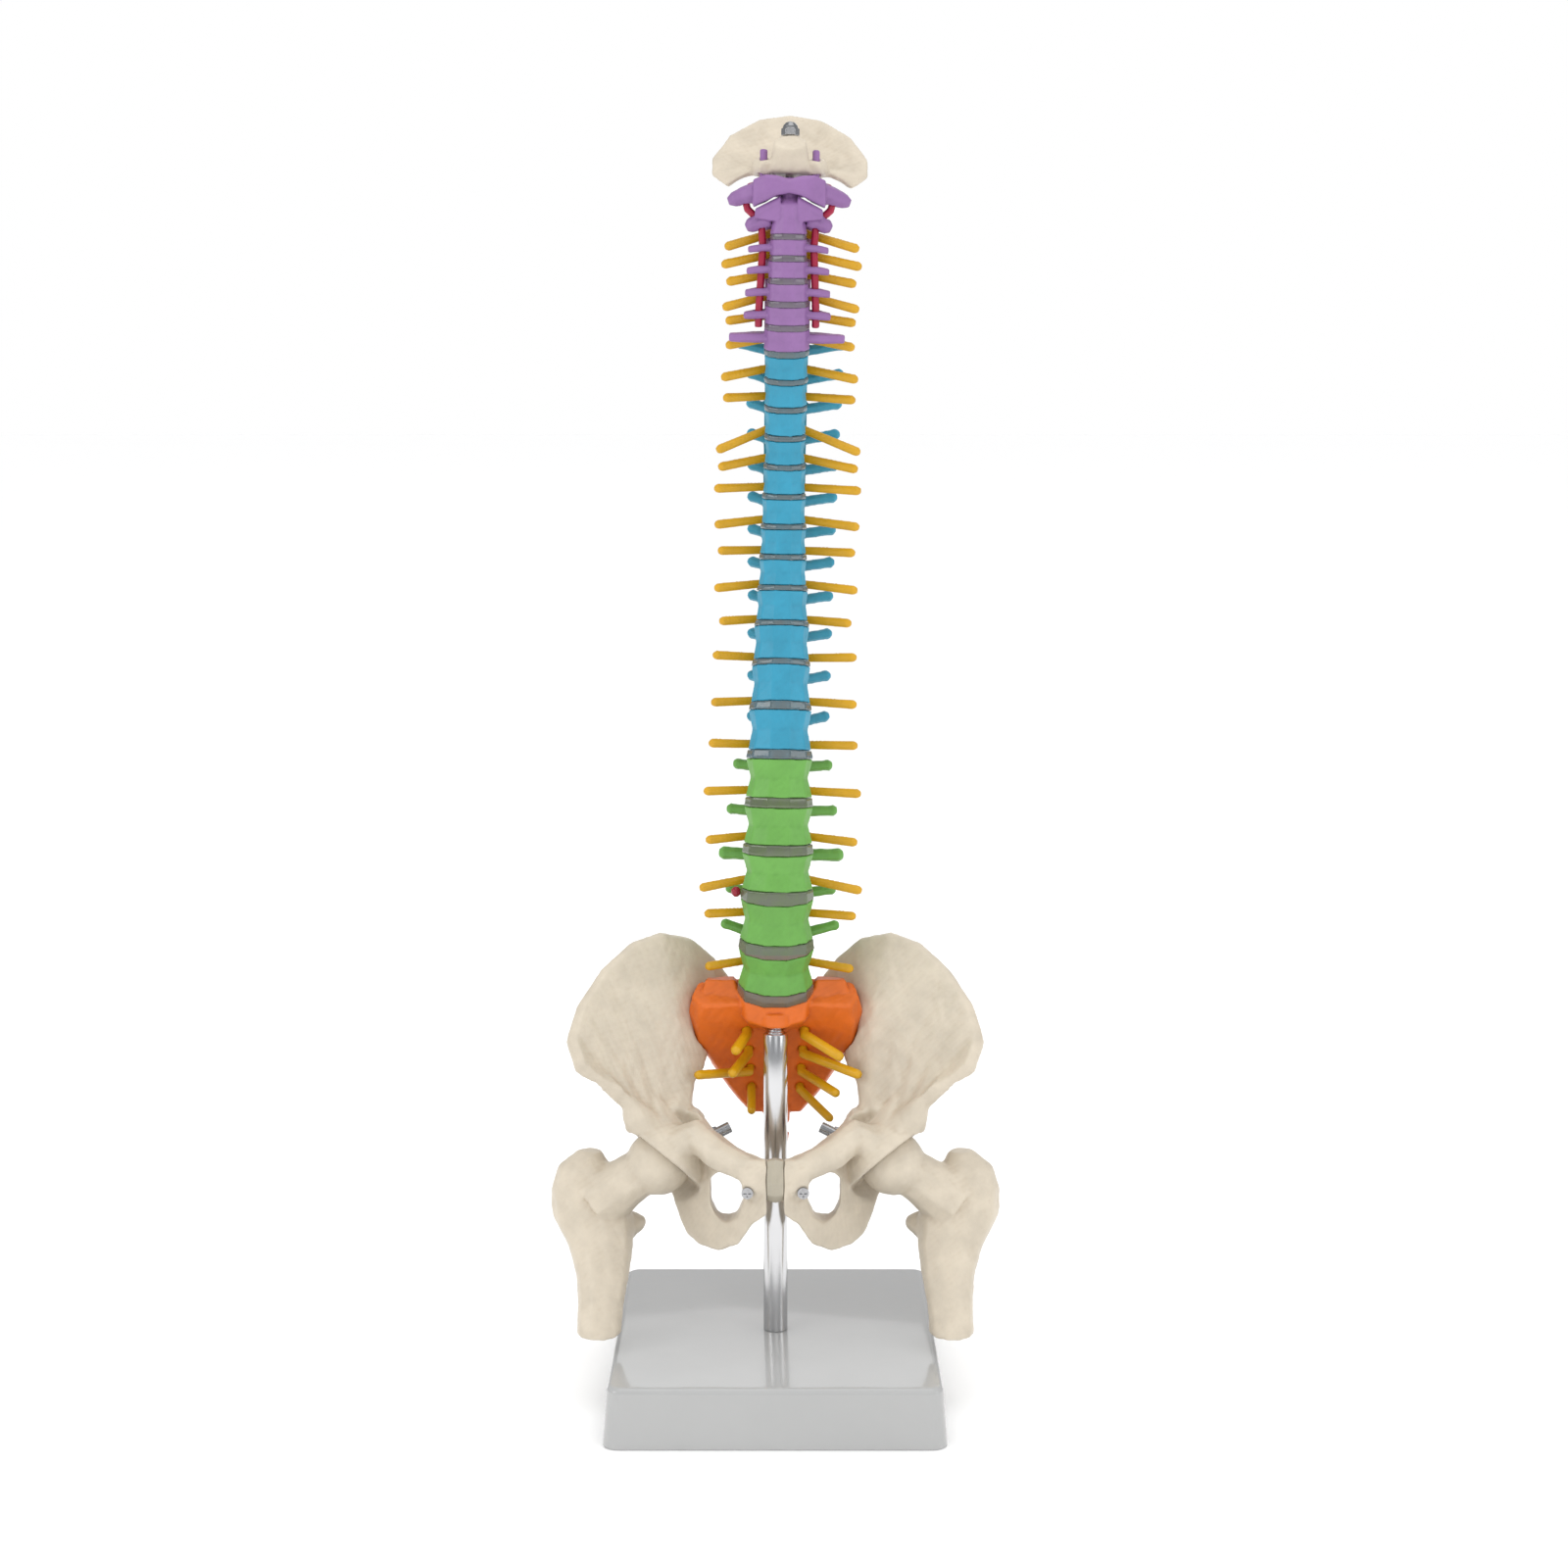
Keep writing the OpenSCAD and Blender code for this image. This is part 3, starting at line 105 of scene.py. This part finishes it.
# Sacrum and coccyx: one orange casting that carries the column. The way it is made,
# a smooth skin over the solid's own form, is shared by every moulded bone below.
def cast(node, voxel, rounds, lump_mm=0.0, grow_mm=0.0, pad=None):
    o = bpy.data.objects.new(node + "_cast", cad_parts[node].data.copy())
    if pad:
        bm = bmesh.new()
        bm.from_mesh(o.data)
        bmesh.ops.create_uvsphere(bm, u_segments=32, v_segments=16, radius=1,
                                  matrix=Matrix.Translation(pad[0]) @ Matrix.Diagonal((*pad[1], 1)))
        bm.to_mesh(o.data)
        bm.free()
    scene.collection.objects.link(o)
    re = o.modifiers.new("skin", "REMESH")
    re.mode = "VOXEL"
    re.voxel_size = voxel
    sm = o.modifiers.new("soften", "SMOOTH")
    sm.factor = 0.5
    sm.iterations = rounds
    me = bpy.data.meshes.new_from_object(o.evaluated_get(bpy.context.evaluated_depsgraph_get()))
    o.modifiers.clear()
    o.data = me
    p = np.empty(len(me.vertices) * 3)
    nn = np.empty(len(me.vertices) * 3)
    me.vertices.foreach_get("co", p)
    me.vertices.foreach_get("normal", nn)
    q = p.reshape(-1, 3) * 1000
    # Slow, uneven waves a few millimetres long over the surface, like those of a soft mould.
    w = (np.sin(q[:, 0] * 0.83 + 1.7 * np.sin(q[:, 1] * 0.51))
         * np.sin(q[:, 2] * 0.77 + 1.3 * np.sin(q[:, 0] * 0.43))
         + 0.5 * np.sin(q[:, 1] * 1.9 + q[:, 2] * 1.3) * np.sin(q[:, 0] * 1.7 - q[:, 2] * 0.9))
    p += (nn.reshape(-1, 3) * (w * lump_mm - lump_mm + grow_mm)[:, None] / 1000).ravel()
    me.vertices.foreach_set("co", p)
    me.polygons.foreach_set("use_smooth", [True] * len(me.polygons))
    me.materials.clear()
    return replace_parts(o, node)


def dyed(name, light, shade_colour, rough, grain=0.25):
    m = bpy.data.materials.new(name)
    m.use_nodes = True
    t = m.node_tree
    s = t.nodes["Principled BSDF"]
    g = t.nodes.new("ShaderNodeGroup")
    g.node_tree = skin
    g.inputs["Grain"].default_value = grain
    a = t.nodes.new("ShaderNodeMix")
    a.data_type = "RGBA"
    a.inputs["A"].default_value = (*light, 1)
    a.inputs["B"].default_value = (*[c * 0.86 for c in light], 1)
    # Painted shade: the second mix lays the darker colour into creases and hollows where the skin's crease
    # mask is high.
    b = t.nodes.new("ShaderNodeMix")
    b.data_type = "RGBA"
    b.inputs["B"].default_value = (*shade_colour, 1)
    t.links.new(g.outputs["Mottle"], a.inputs["Factor"])
    t.links.new(a.outputs["Result"], b.inputs["A"])
    t.links.new(g.outputs["CreaseShade"], b.inputs["Factor"])
    t.links.new(b.outputs["Result"], s.inputs["Base Color"])
    t.links.new(g.outputs["Normal"], s.inputs["Normal"])
    s.inputs["Roughness"].default_value = rough
    s.inputs["IOR"].default_value = 1.46
    return m


orange = dyed("sacral_orange", (0.70, 0.14, 0.010), (0.36, 0.055, 0.005), 0.4)
sacrum = cast("sacrum", 0.0005, 6, lump_mm=0.08, grow_mm=0.5)
sacrum.data.materials.append(orange)
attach(sacrum, "stand_and_skeleton")

# Lumbar vertebrae: five green castings of dyed soft plastic, stacked on the clear discs
# and threaded on the flexible core, with a satin skin and softened mould edges.
green = dyed("lumbar_green", (0.135, 0.37, 0.066), (0.045, 0.16, 0.02), 0.4)
for node in ("l5", "l4", "l3", "l2", "l1"):
    o = cast(node, 0.00045, 6, lump_mm=0.06)
    o.data.materials.append(green)
    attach(o, "stand_and_skeleton")

# Thoracic vertebrae: twelve blue castings, smaller towards the neck, with long spines
# that slope down behind and side processes that sweep back.
blue = dyed("thoracic_blue", (0.026, 0.28, 0.43), (0.006, 0.11, 0.19), 0.4)
for node in ("t12", "t11", "t10", "t9", "t8", "t7", "t6", "t5", "t4", "t3", "t2", "t1"):
    o = cast(node, 0.0004, 5, lump_mm=0.05)
    o.data.materials.append(blue)
    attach(o, "stand_and_skeleton")

# Cervical vertebrae: seven purple castings, the ring-shaped atlas and the axis on top,
# with side plates that let the arteries through.
purple = dyed("cervical_purple", (0.265, 0.13, 0.33), (0.11, 0.04, 0.16), 0.42)
for node in ("c7", "c6", "c5", "c4", "c3", "c2", "c1"):
    o = cast(node, 0.00034, 5, lump_mm=0.04, grow_mm=0.22)
    o.data.materials.append(purple)
    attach(o, "stand_and_skeleton")

# Pelvis, femur stumps and occiput: hard bone-coloured castings, creamy, with painted shade
# in a darker, warmer cream in the hollows, and a drier, finer grain than the vertebrae. Each pelvis
# half gets a pad behind its blade, where it closes over the side of the sacrum.
PAD_X, PAD_Y, PAD_Z = 0.0303, 0.0178, 0.1295
PAD_RADII = (0.0018, 0.0095, 0.0105)
cream = dyed("bone_cream", (0.60, 0.53, 0.425), (0.40, 0.31, 0.21), 0.38, 0.3)
for node, voxel, rounds, body in (
        ("hip_bone_right", 0.0006, 22, "stand_and_skeleton"),
        ("hip_bone_left", 0.0006, 22, "stand_and_skeleton"),
        ("occiput", 0.0005, 18, "stand_and_skeleton"),
        ("femur_right", 0.0006, 24, "right_femur"), ("femur_left", 0.0006, 24, "left_femur")):
    side = -1 if node.endswith("right") else 1
    pad = ((side * PAD_X, PAD_Y, PAD_Z), PAD_RADII) if node.startswith("hip") else None
    o = cast(node, voxel, rounds, lump_mm=0.08, pad=pad)
    o.data.materials.append(cream)
    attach(o, body)

# Discs: clear smoky vinyl rings between the bodies, held by the stack alone. They are
# glossy, and the colour of the bones above and below, as seen through the clear plastic, is painted in by
# height.
vinyl = bpy.data.materials.new("clear_disc")
vinyl.use_nodes = True
t = vinyl.node_tree
s = t.nodes["Principled BSDF"]
haze = t.nodes.new("ShaderNodeTexNoise")
haze.inputs["Scale"].default_value = 240
haze.inputs["Detail"].default_value = 3
tone = t.nodes.new("ShaderNodeMix")
tone.data_type = "RGBA"
tone.inputs["B"].default_value = (0.15, 0.15, 0.14, 1)
where = t.nodes.new("ShaderNodeTexCoord")
height = t.nodes.new("ShaderNodeSeparateXYZ")
level = t.nodes.new("ShaderNodeMapRange")
level.inputs["From Min"].default_value = 0.13
level.inputs["From Max"].default_value = 0.43
# Painted see-through colour: orange, green, blue and purple bands by height stand in for the light of the
# neighbouring bones passing through the clear vinyl.
painted_show_through = t.nodes.new("ShaderNodeValToRGB")
painted_show_through.color_ramp.interpolation = "CONSTANT"
painted_show_through.color_ramp.elements[0].color = (0.24, 0.16, 0.08, 1)
painted_show_through.color_ramp.elements[1].position = 0.09
painted_show_through.color_ramp.elements[1].color = (0.14, 0.22, 0.07, 1)
for spot, shade in ((0.305, (0.085, 0.20, 0.26, 1)), (0.79, (0.21, 0.14, 0.25, 1))):
    painted_show_through.color_ramp.elements.new(spot).color = shade
t.links.new(where.outputs["Object"], height.inputs["Vector"])
t.links.new(height.outputs["Z"], level.inputs["Value"])
t.links.new(level.outputs["Result"], painted_show_through.inputs["Fac"])
t.links.new(painted_show_through.outputs["Color"], tone.inputs["A"])
wave = t.nodes.new("ShaderNodeBump")
wave.inputs["Strength"].default_value = 0.2
wave.inputs["Distance"].default_value = 0.0003
t.links.new(where.outputs["Object"], haze.inputs["Vector"])
t.links.new(haze.outputs["Fac"], tone.inputs["Factor"])
t.links.new(tone.outputs["Result"], s.inputs["Base Color"])
t.links.new(haze.outputs["Fac"], wave.inputs["Height"])
t.links.new(wave.outputs["Normal"], s.inputs["Normal"])
s.inputs["Roughness"].default_value = 0.14
s.inputs["Transmission Weight"].default_value = 0.35
s.inputs["IOR"].default_value = 1.5
s.inputs["Coat Weight"].default_value = 0.4
s.inputs["Coat Roughness"].default_value = 0.06
for node in ("disc_l5_s1", "disc_l4_l5", "disc_l3_l4", "disc_l2_l3", "disc_l1_l2", "discs_thoracic",
             "discs_cervical"):
    o = cast(node, 0.0004, 4)
    o.data.materials.append(vinyl)
    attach(o, "stand_and_skeleton")

# Symphysis: the same soft vinyl in a milky cream between the pubic bones, clamped by
# them and flush with their front.
milk = dyed("symphysis_milk", (0.42, 0.38, 0.30), (0.25, 0.2, 0.14), 0.25, 0.1)
o = cast("symphysis_disc", 0.0003, 4)
o.data.materials.append(milk)
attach(o, "stand_and_skeleton")

# Prolapse: a dark red bead of gel-like plastic glued to the edge of the third lumbar
# disc, to show a slipped disc.
red = dyed("prolapse_red", (0.28, 0.012, 0.03), (0.12, 0.004, 0.01), 0.2, 0.1)
o = cast("disc_prolapse", 0.0002, 4)
o.data.materials.append(red)
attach(o, "stand_and_skeleton")

# Nerve roots and cord: soft yellow moulding on the steel core. The roots stick out
# between the arches with rounded ends.
yellow = dyed("nerve_yellow", (0.62, 0.33, 0.005), (0.36, 0.14, 0.003), 0.36, 0.15)
for node in ("spinal_cord", "nerves_cervical", "nerves_thoracic", "nerves_lumbar", "nerves_sacral"):
    o = cast(node, 0.00035, 5, grow_mm=0.3 if node.startswith("nerves") else 0)
    o.data.materials.append(yellow)
    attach(o, "stand_and_skeleton")

# Vertebral arteries: two crimson tubes threaded up through the side plates of the neck
# and bent back over the atlas.
crimson = dyed("artery_red", (0.36, 0.008, 0.045), (0.16, 0.003, 0.02), 0.3, 0.1)
for node in ("artery_right", "artery_left"):
    o = cast(node, 0.0003, 5)
    o.data.materials.append(crimson)
    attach(o, "stand_and_skeleton")

# Base: a hollow injection-moulded plate in glossy pale grey, with drafted sides, a soft
# top edge, ribs and a boss under the rod. Its outer size comes from the solid's own box.
lo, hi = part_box("base")
W, D, H = hi.x - lo.x, hi.y - lo.y, hi.z
cy0 = (hi.y + lo.y) / 2
DRAFT, CORNER, EDGE, WALL = 0.0014, 0.0055, 0.0022, 0.0026
CAVITY_W, CAVITY_D = W - 2 * WALL - 0.002, D - 2 * WALL - 0.002
RIB, RIB_LOW, RIB_HIGH = 0.0018, 0.0015, H - WALL - 0.0001
BOSS_HIGH = H - 0.002
ARC, ROLL = 12, 8


def corner_ring(w, d, r, z):
    pts = []
    for k in range(4):
        sx = 1 if k in (0, 3) else -1
        sy = 1 if k in (0, 1) else -1
        for i in range(ARC + 1):
            a = math.pi / 2 * (k + i / ARC)
            pts.append((sx * (w / 2 - r) + r * math.cos(a), cy0 + sy * (d / 2 - r) + r * math.sin(a), z))
    return pts


bm = bmesh.new()
rings = []
profile = [(0.0004, 0.0), (0.0, 0.0004)]
for i in range(ROLL + 1):
    a = math.pi / 2 * i / ROLL
    profile.append((DRAFT * (H - EDGE) / H + EDGE * (1 - math.cos(a)), H - EDGE + EDGE * math.sin(a)))
for inset, z in profile:
    outline = corner_ring(W - 2 * inset, D - 2 * inset, CORNER - inset * 0.7, z)
    rings.append([bm.verts.new(p) for p in outline])
for a, b in zip(rings, rings[1:]):
    for i in range(len(a)):
        bm.faces.new((a[i], a[(i + 1) % len(a)], b[(i + 1) % len(a)], b[i]))
bm.faces.new(rings[-1])
inner = []
for z in (0.0, H - WALL):
    outline = corner_ring(CAVITY_W, CAVITY_D, CORNER - WALL, z)
    inner.append([bm.verts.new(p) for p in outline])
m = len(inner[0])
for i in range(m):
    bm.faces.new((rings[0][(i + 1) % m], rings[0][i], inner[0][i], inner[0][(i + 1) % m]))
    bm.faces.new((inner[0][(i + 1) % m], inner[0][i], inner[1][i], inner[1][(i + 1) % m]))
bm.faces.new(inner[1][::-1])
bars = [((x * W / 6, cy0), (RIB, D - 2 * WALL)) for x in (-1, 1)]
bars += [((0, cy0 + y * D / 4), (W - 2 * WALL, RIB)) for y in (-1, 0, 1)]
for (x, y), (w, d) in bars:
    box = bmesh.ops.create_cube(bm, size=1)["verts"]
    bmesh.ops.scale(bm, verts=box, vec=(w, d, RIB_HIGH - RIB_LOW))
    bmesh.ops.translate(bm, verts=box, vec=(x, y, (RIB_LOW + RIB_HIGH) / 2))
boss = bmesh.ops.create_cone(bm, cap_ends=True, segments=40, radius1=0.01, radius2=0.0104,
                             depth=BOSS_HIGH)["verts"]
bmesh.ops.translate(bm, verts=boss, vec=(0, 0, BOSS_HIGH / 2))
me = bpy.data.meshes.new("base_plate")
bm.to_mesh(me)
bm.free()
base = bpy.data.objects.new("base_plate", me)
scene.collection.objects.link(base)
for p in me.polygons:
    p.use_smooth = True
me.set_sharp_from_angle(angle=math.radians(35))
grey = bpy.data.materials.new("base_plastic")
grey.use_nodes = True
t = grey.node_tree
s = t.nodes["Principled BSDF"]
where = t.nodes.new("ShaderNodeTexCoord")
peel = t.nodes.new("ShaderNodeTexNoise")
peel.inputs["Scale"].default_value = 260
peel.inputs["Detail"].default_value = 2
dust = t.nodes.new("ShaderNodeTexNoise")
dust.inputs["Scale"].default_value = 38
dust.inputs["Detail"].default_value = 6
sheen = t.nodes.new("ShaderNodeMapRange")
sheen.inputs["To Min"].default_value = 0.13
sheen.inputs["To Max"].default_value = 0.24
tone = t.nodes.new("ShaderNodeMix")
tone.data_type = "RGBA"
tone.inputs["A"].default_value = (0.40, 0.402, 0.40, 1)
tone.inputs["B"].default_value = (0.37, 0.372, 0.37, 1)
wave = t.nodes.new("ShaderNodeBump")
wave.inputs["Strength"].default_value = 0.06
wave.inputs["Distance"].default_value = 0.0004
for a, b in ((where.outputs["Object"], peel.inputs["Vector"]),
             (where.outputs["Object"], dust.inputs["Vector"]),
             (dust.outputs["Fac"], sheen.inputs["Value"]), (sheen.outputs["Result"], s.inputs["Roughness"]),
             (dust.outputs["Fac"], tone.inputs["Factor"]), (tone.outputs["Result"], s.inputs["Base Color"]),
             (peel.outputs["Fac"], wave.inputs["Height"]), (wave.outputs["Normal"], s.inputs["Normal"])):
    t.links.new(a, b)
s.inputs["Coat Weight"].default_value = 0.5
s.inputs["Coat Roughness"].default_value = 0.05
me.materials.append(grey)
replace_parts(base, "base")
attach(base, "stand_and_skeleton")

# Support rod: a polished, plated steel bar with a thread turned on each end. The lower
# end screws into the base, the upper one into the front of the sacrum.
lo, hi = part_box("support_rod")
R, TOP, SHOULDER = (hi.x - lo.x) / 2, hi.z, 0.1288
STUD, TIP, LEAD = 0.003, 0.0024, 0.0006
PITCH, CUT, FADE = 0.001, 0.00055, 0.0008
STEP, SEG = 0.0001, 64
bm = bmesh.new()


def thread_radius(z, a, z0, z1):
    f = ((z - z0) / PITCH + a / (2 * math.pi)) % 1
    cut = CUT * (1 - abs(2 * f - 1)) ** 0.8
    fade = min(1, max(0, (z1 - z) / FADE)) * min(1, max(0, (z - z0) / FADE))
    return STUD - cut * fade


rows = [(lo.z, lambda a: TIP), (lo.z + LEAD, lambda a: STUD - 0.0003)]
z = lo.z + LEAD
while z < H - 0.0003:
    z += STEP
    rows.append((z, lambda a, z=z: thread_radius(z, a, lo.z, H)))
rows += [(H, lambda a: STUD), (H, lambda a: R - 0.0003), (H + 0.0003, lambda a: R)]
rows += [(H + (SHOULDER - H) * i / 6, lambda a: R) for i in range(1, 6)]
rows += [(SHOULDER - 0.0006, lambda a: R), (SHOULDER - 0.0002, lambda a: R - 0.00025),
         (SHOULDER, lambda a: R - 0.0006), (SHOULDER, lambda a: STUD)]
z = SHOULDER
while z < TOP - 0.0007:
    z += STEP
    rows.append((z, lambda a, z=z: thread_radius(z, a, SHOULDER, TOP)))
rows.append((TOP, lambda a: TIP))
turns = [2 * math.pi * i / SEG for i in range(SEG)]
loops = [[bm.verts.new((r(a) * math.cos(a), r(a) * math.sin(a), z)) for a in turns] for z, r in rows]
for a, b in zip(loops, loops[1:]):
    for i in range(SEG):
        bm.faces.new((a[i], a[(i + 1) % SEG], b[(i + 1) % SEG], b[i]))
bm.faces.new(loops[0][::-1])
bm.faces.new(loops[-1])
me = bpy.data.meshes.new("rod_bar")
bm.to_mesh(me)
bm.free()
for p in me.polygons:
    p.use_smooth = True
me.set_sharp_from_angle(angle=math.radians(40))
rod = bpy.data.objects.new("rod_bar", me)
scene.collection.objects.link(rod)
chrome = bpy.data.materials.new("polished_steel")
chrome.use_nodes = True
t = chrome.node_tree
s = t.nodes["Principled BSDF"]
where = t.nodes.new("ShaderNodeTexCoord")
smear = t.nodes.new("ShaderNodeTexNoise")
smear.inputs["Scale"].default_value = 120
smear.inputs["Detail"].default_value = 4
shine = t.nodes.new("ShaderNodeMapRange")
shine.inputs["To Min"].default_value = 0.14
shine.inputs["To Max"].default_value = 0.26
t.links.new(where.outputs["Object"], smear.inputs["Vector"])
t.links.new(smear.outputs["Fac"], shine.inputs["Value"])
t.links.new(shine.outputs["Result"], s.inputs["Roughness"])
s.inputs["Base Color"].default_value = (0.66, 0.66, 0.67, 1)
s.inputs["Metallic"].default_value = 1
me.materials.append(chrome)
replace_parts(rod, "support_rod")
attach(rod, "stand_and_skeleton")

# Small metal parts: zinc-plated hip bolts, wing nuts, pubic screws, and the steel core
# with its dome nut. Their solids are right, so they get softened edges and plating; the core itself only
# gets the plating.
zinc = bpy.data.materials.new("zinc_steel")
zinc.use_nodes = True
t = zinc.node_tree
s = t.nodes["Principled BSDF"]
where = t.nodes.new("ShaderNodeTexCoord")
spot = t.nodes.new("ShaderNodeTexNoise")
spot.inputs["Scale"].default_value = 900
spot.inputs["Detail"].default_value = 4
dull = t.nodes.new("ShaderNodeMapRange")
dull.inputs["To Min"].default_value = 0.16
dull.inputs["To Max"].default_value = 0.38
tone = t.nodes.new("ShaderNodeMix")
tone.data_type = "RGBA"
tone.inputs["A"].default_value = (0.5, 0.5, 0.51, 1)
tone.inputs["B"].default_value = (0.34, 0.34, 0.35, 1)
for a, b in ((where.outputs["Object"], spot.inputs["Vector"]), (spot.outputs["Fac"], dull.inputs["Value"]),
             (dull.outputs["Result"], s.inputs["Roughness"]), (spot.outputs["Fac"], tone.inputs["Factor"]),
             (tone.outputs["Result"], s.inputs["Base Color"])):
    t.links.new(a, b)
s.inputs["Metallic"].default_value = 1
for node, body in (("hip_bolt_right", "right_femur"), ("hip_bolt_left", "left_femur"),
                   ("wing_nut_right", "right_wing_nut"), ("wing_nut_left", "left_wing_nut"),
                   ("pubic_screws", "stand_and_skeleton")):
    o = bpy.data.objects.new(node + "_metal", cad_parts[node].data.copy())
    scene.collection.objects.link(o)
    bv = o.modifiers.new("edge", "BEVEL")
    bv.width = 0.00014
    bv.segments = 2
    bv.limit_method = "ANGLE"
    bv.angle_limit = math.radians(38)
    me = bpy.data.meshes.new_from_object(o.evaluated_get(bpy.context.evaluated_depsgraph_get()))
    o.modifiers.clear()
    o.data = me
    me.materials.clear()
    me.materials.append(zinc)
    for p in me.polygons:
        p.use_smooth = True
    me.set_sharp_from_angle(angle=math.radians(50))
    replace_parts(o, node)
    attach(o, body)
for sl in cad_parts["core_rod"].material_slots:
    sl.material = zinc
o = cast("core_nut", 0.00016, 3)
o.data.materials.append(zinc)
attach(o, "stand_and_skeleton")

# Floor: a plain pale sheet that runs far past the model.
bm = bmesh.new()
bmesh.ops.create_grid(bm, x_segments=1, y_segments=1, size=60)
me = bpy.data.meshes.new("floor")
bm.to_mesh(me)
bm.free()
floor = bpy.data.objects.new("floor", me)
scene.collection.objects.link(floor)
paper = bpy.data.materials.new("floor")
paper.use_nodes = True
s = paper.node_tree.nodes["Principled BSDF"]
s.inputs["Base Color"].default_value = (0.97, 0.97, 0.97, 1)
s.inputs["Roughness"].default_value = 0.8
me.materials.append(paper)

# Light: a white studio room with soft boxes around. The background is white for the
# camera, and a darker grey for what the metal and glossy parts see of the room.
world = bpy.data.worlds.new("studio")
scene.world = world
world.use_nodes = True
t = world.node_tree
t.nodes.clear()
out = t.nodes.new("ShaderNodeOutputWorld")
mix = t.nodes.new("ShaderNodeMixShader")
seen = t.nodes.new("ShaderNodeBackground")
seen.inputs["Color"].default_value = (1, 1, 1, 1)
seen.inputs["Strength"].default_value = 1.0
glow = t.nodes.new("ShaderNodeBackground")
glow.inputs["Color"].default_value = (1, 1, 1, 1)
glow.inputs["Strength"].default_value = 1.12
room = t.nodes.new("ShaderNodeBackground")
room.inputs["Color"].default_value = (0.36, 0.37, 0.38, 1)
first = t.nodes.new("ShaderNodeMixShader")
path = t.nodes.new("ShaderNodeLightPath")
t.links.new(path.outputs["Is Glossy Ray"], first.inputs["Fac"])
t.links.new(glow.outputs[0], first.inputs[1])
t.links.new(room.outputs[0], first.inputs[2])
t.links.new(path.outputs["Is Camera Ray"], mix.inputs["Fac"])
t.links.new(first.outputs[0], mix.inputs[1])
t.links.new(seen.outputs[0], mix.inputs[2])
t.links.new(mix.outputs[0], out.inputs[0])
for name, place, aim, size, power in (
        ("top", (0.1, -0.25, 1.25), (0, 0, 0.2), 0.9, 2.5),
        ("left", (-1.0, -0.7, 0.75), (0, 0, 0.25), 0.5, 2.5),
        ("right", (1.05, -0.6, 0.6), (0, 0, 0.25), 0.5, 1.5),
        ("front", (0.15, -1.5, 0.8), (0, 0, 0.2), 0.7, 1),
        ("back", (0.2, 1.2, 0.9), (0, 0, 0.25), 0.9, 2)):
    ld = bpy.data.lights.new(name, "AREA")
    ld.size = size
    ld.energy = power
    lamp = bpy.data.objects.new(name, ld)
    lamp.location = place
    lamp.rotation_euler = (Vector(aim) - Vector(place)).to_track_quat("-Z", "Y").to_euler()
    scene.collection.objects.link(lamp)
scene.view_settings.view_transform = "Standard"
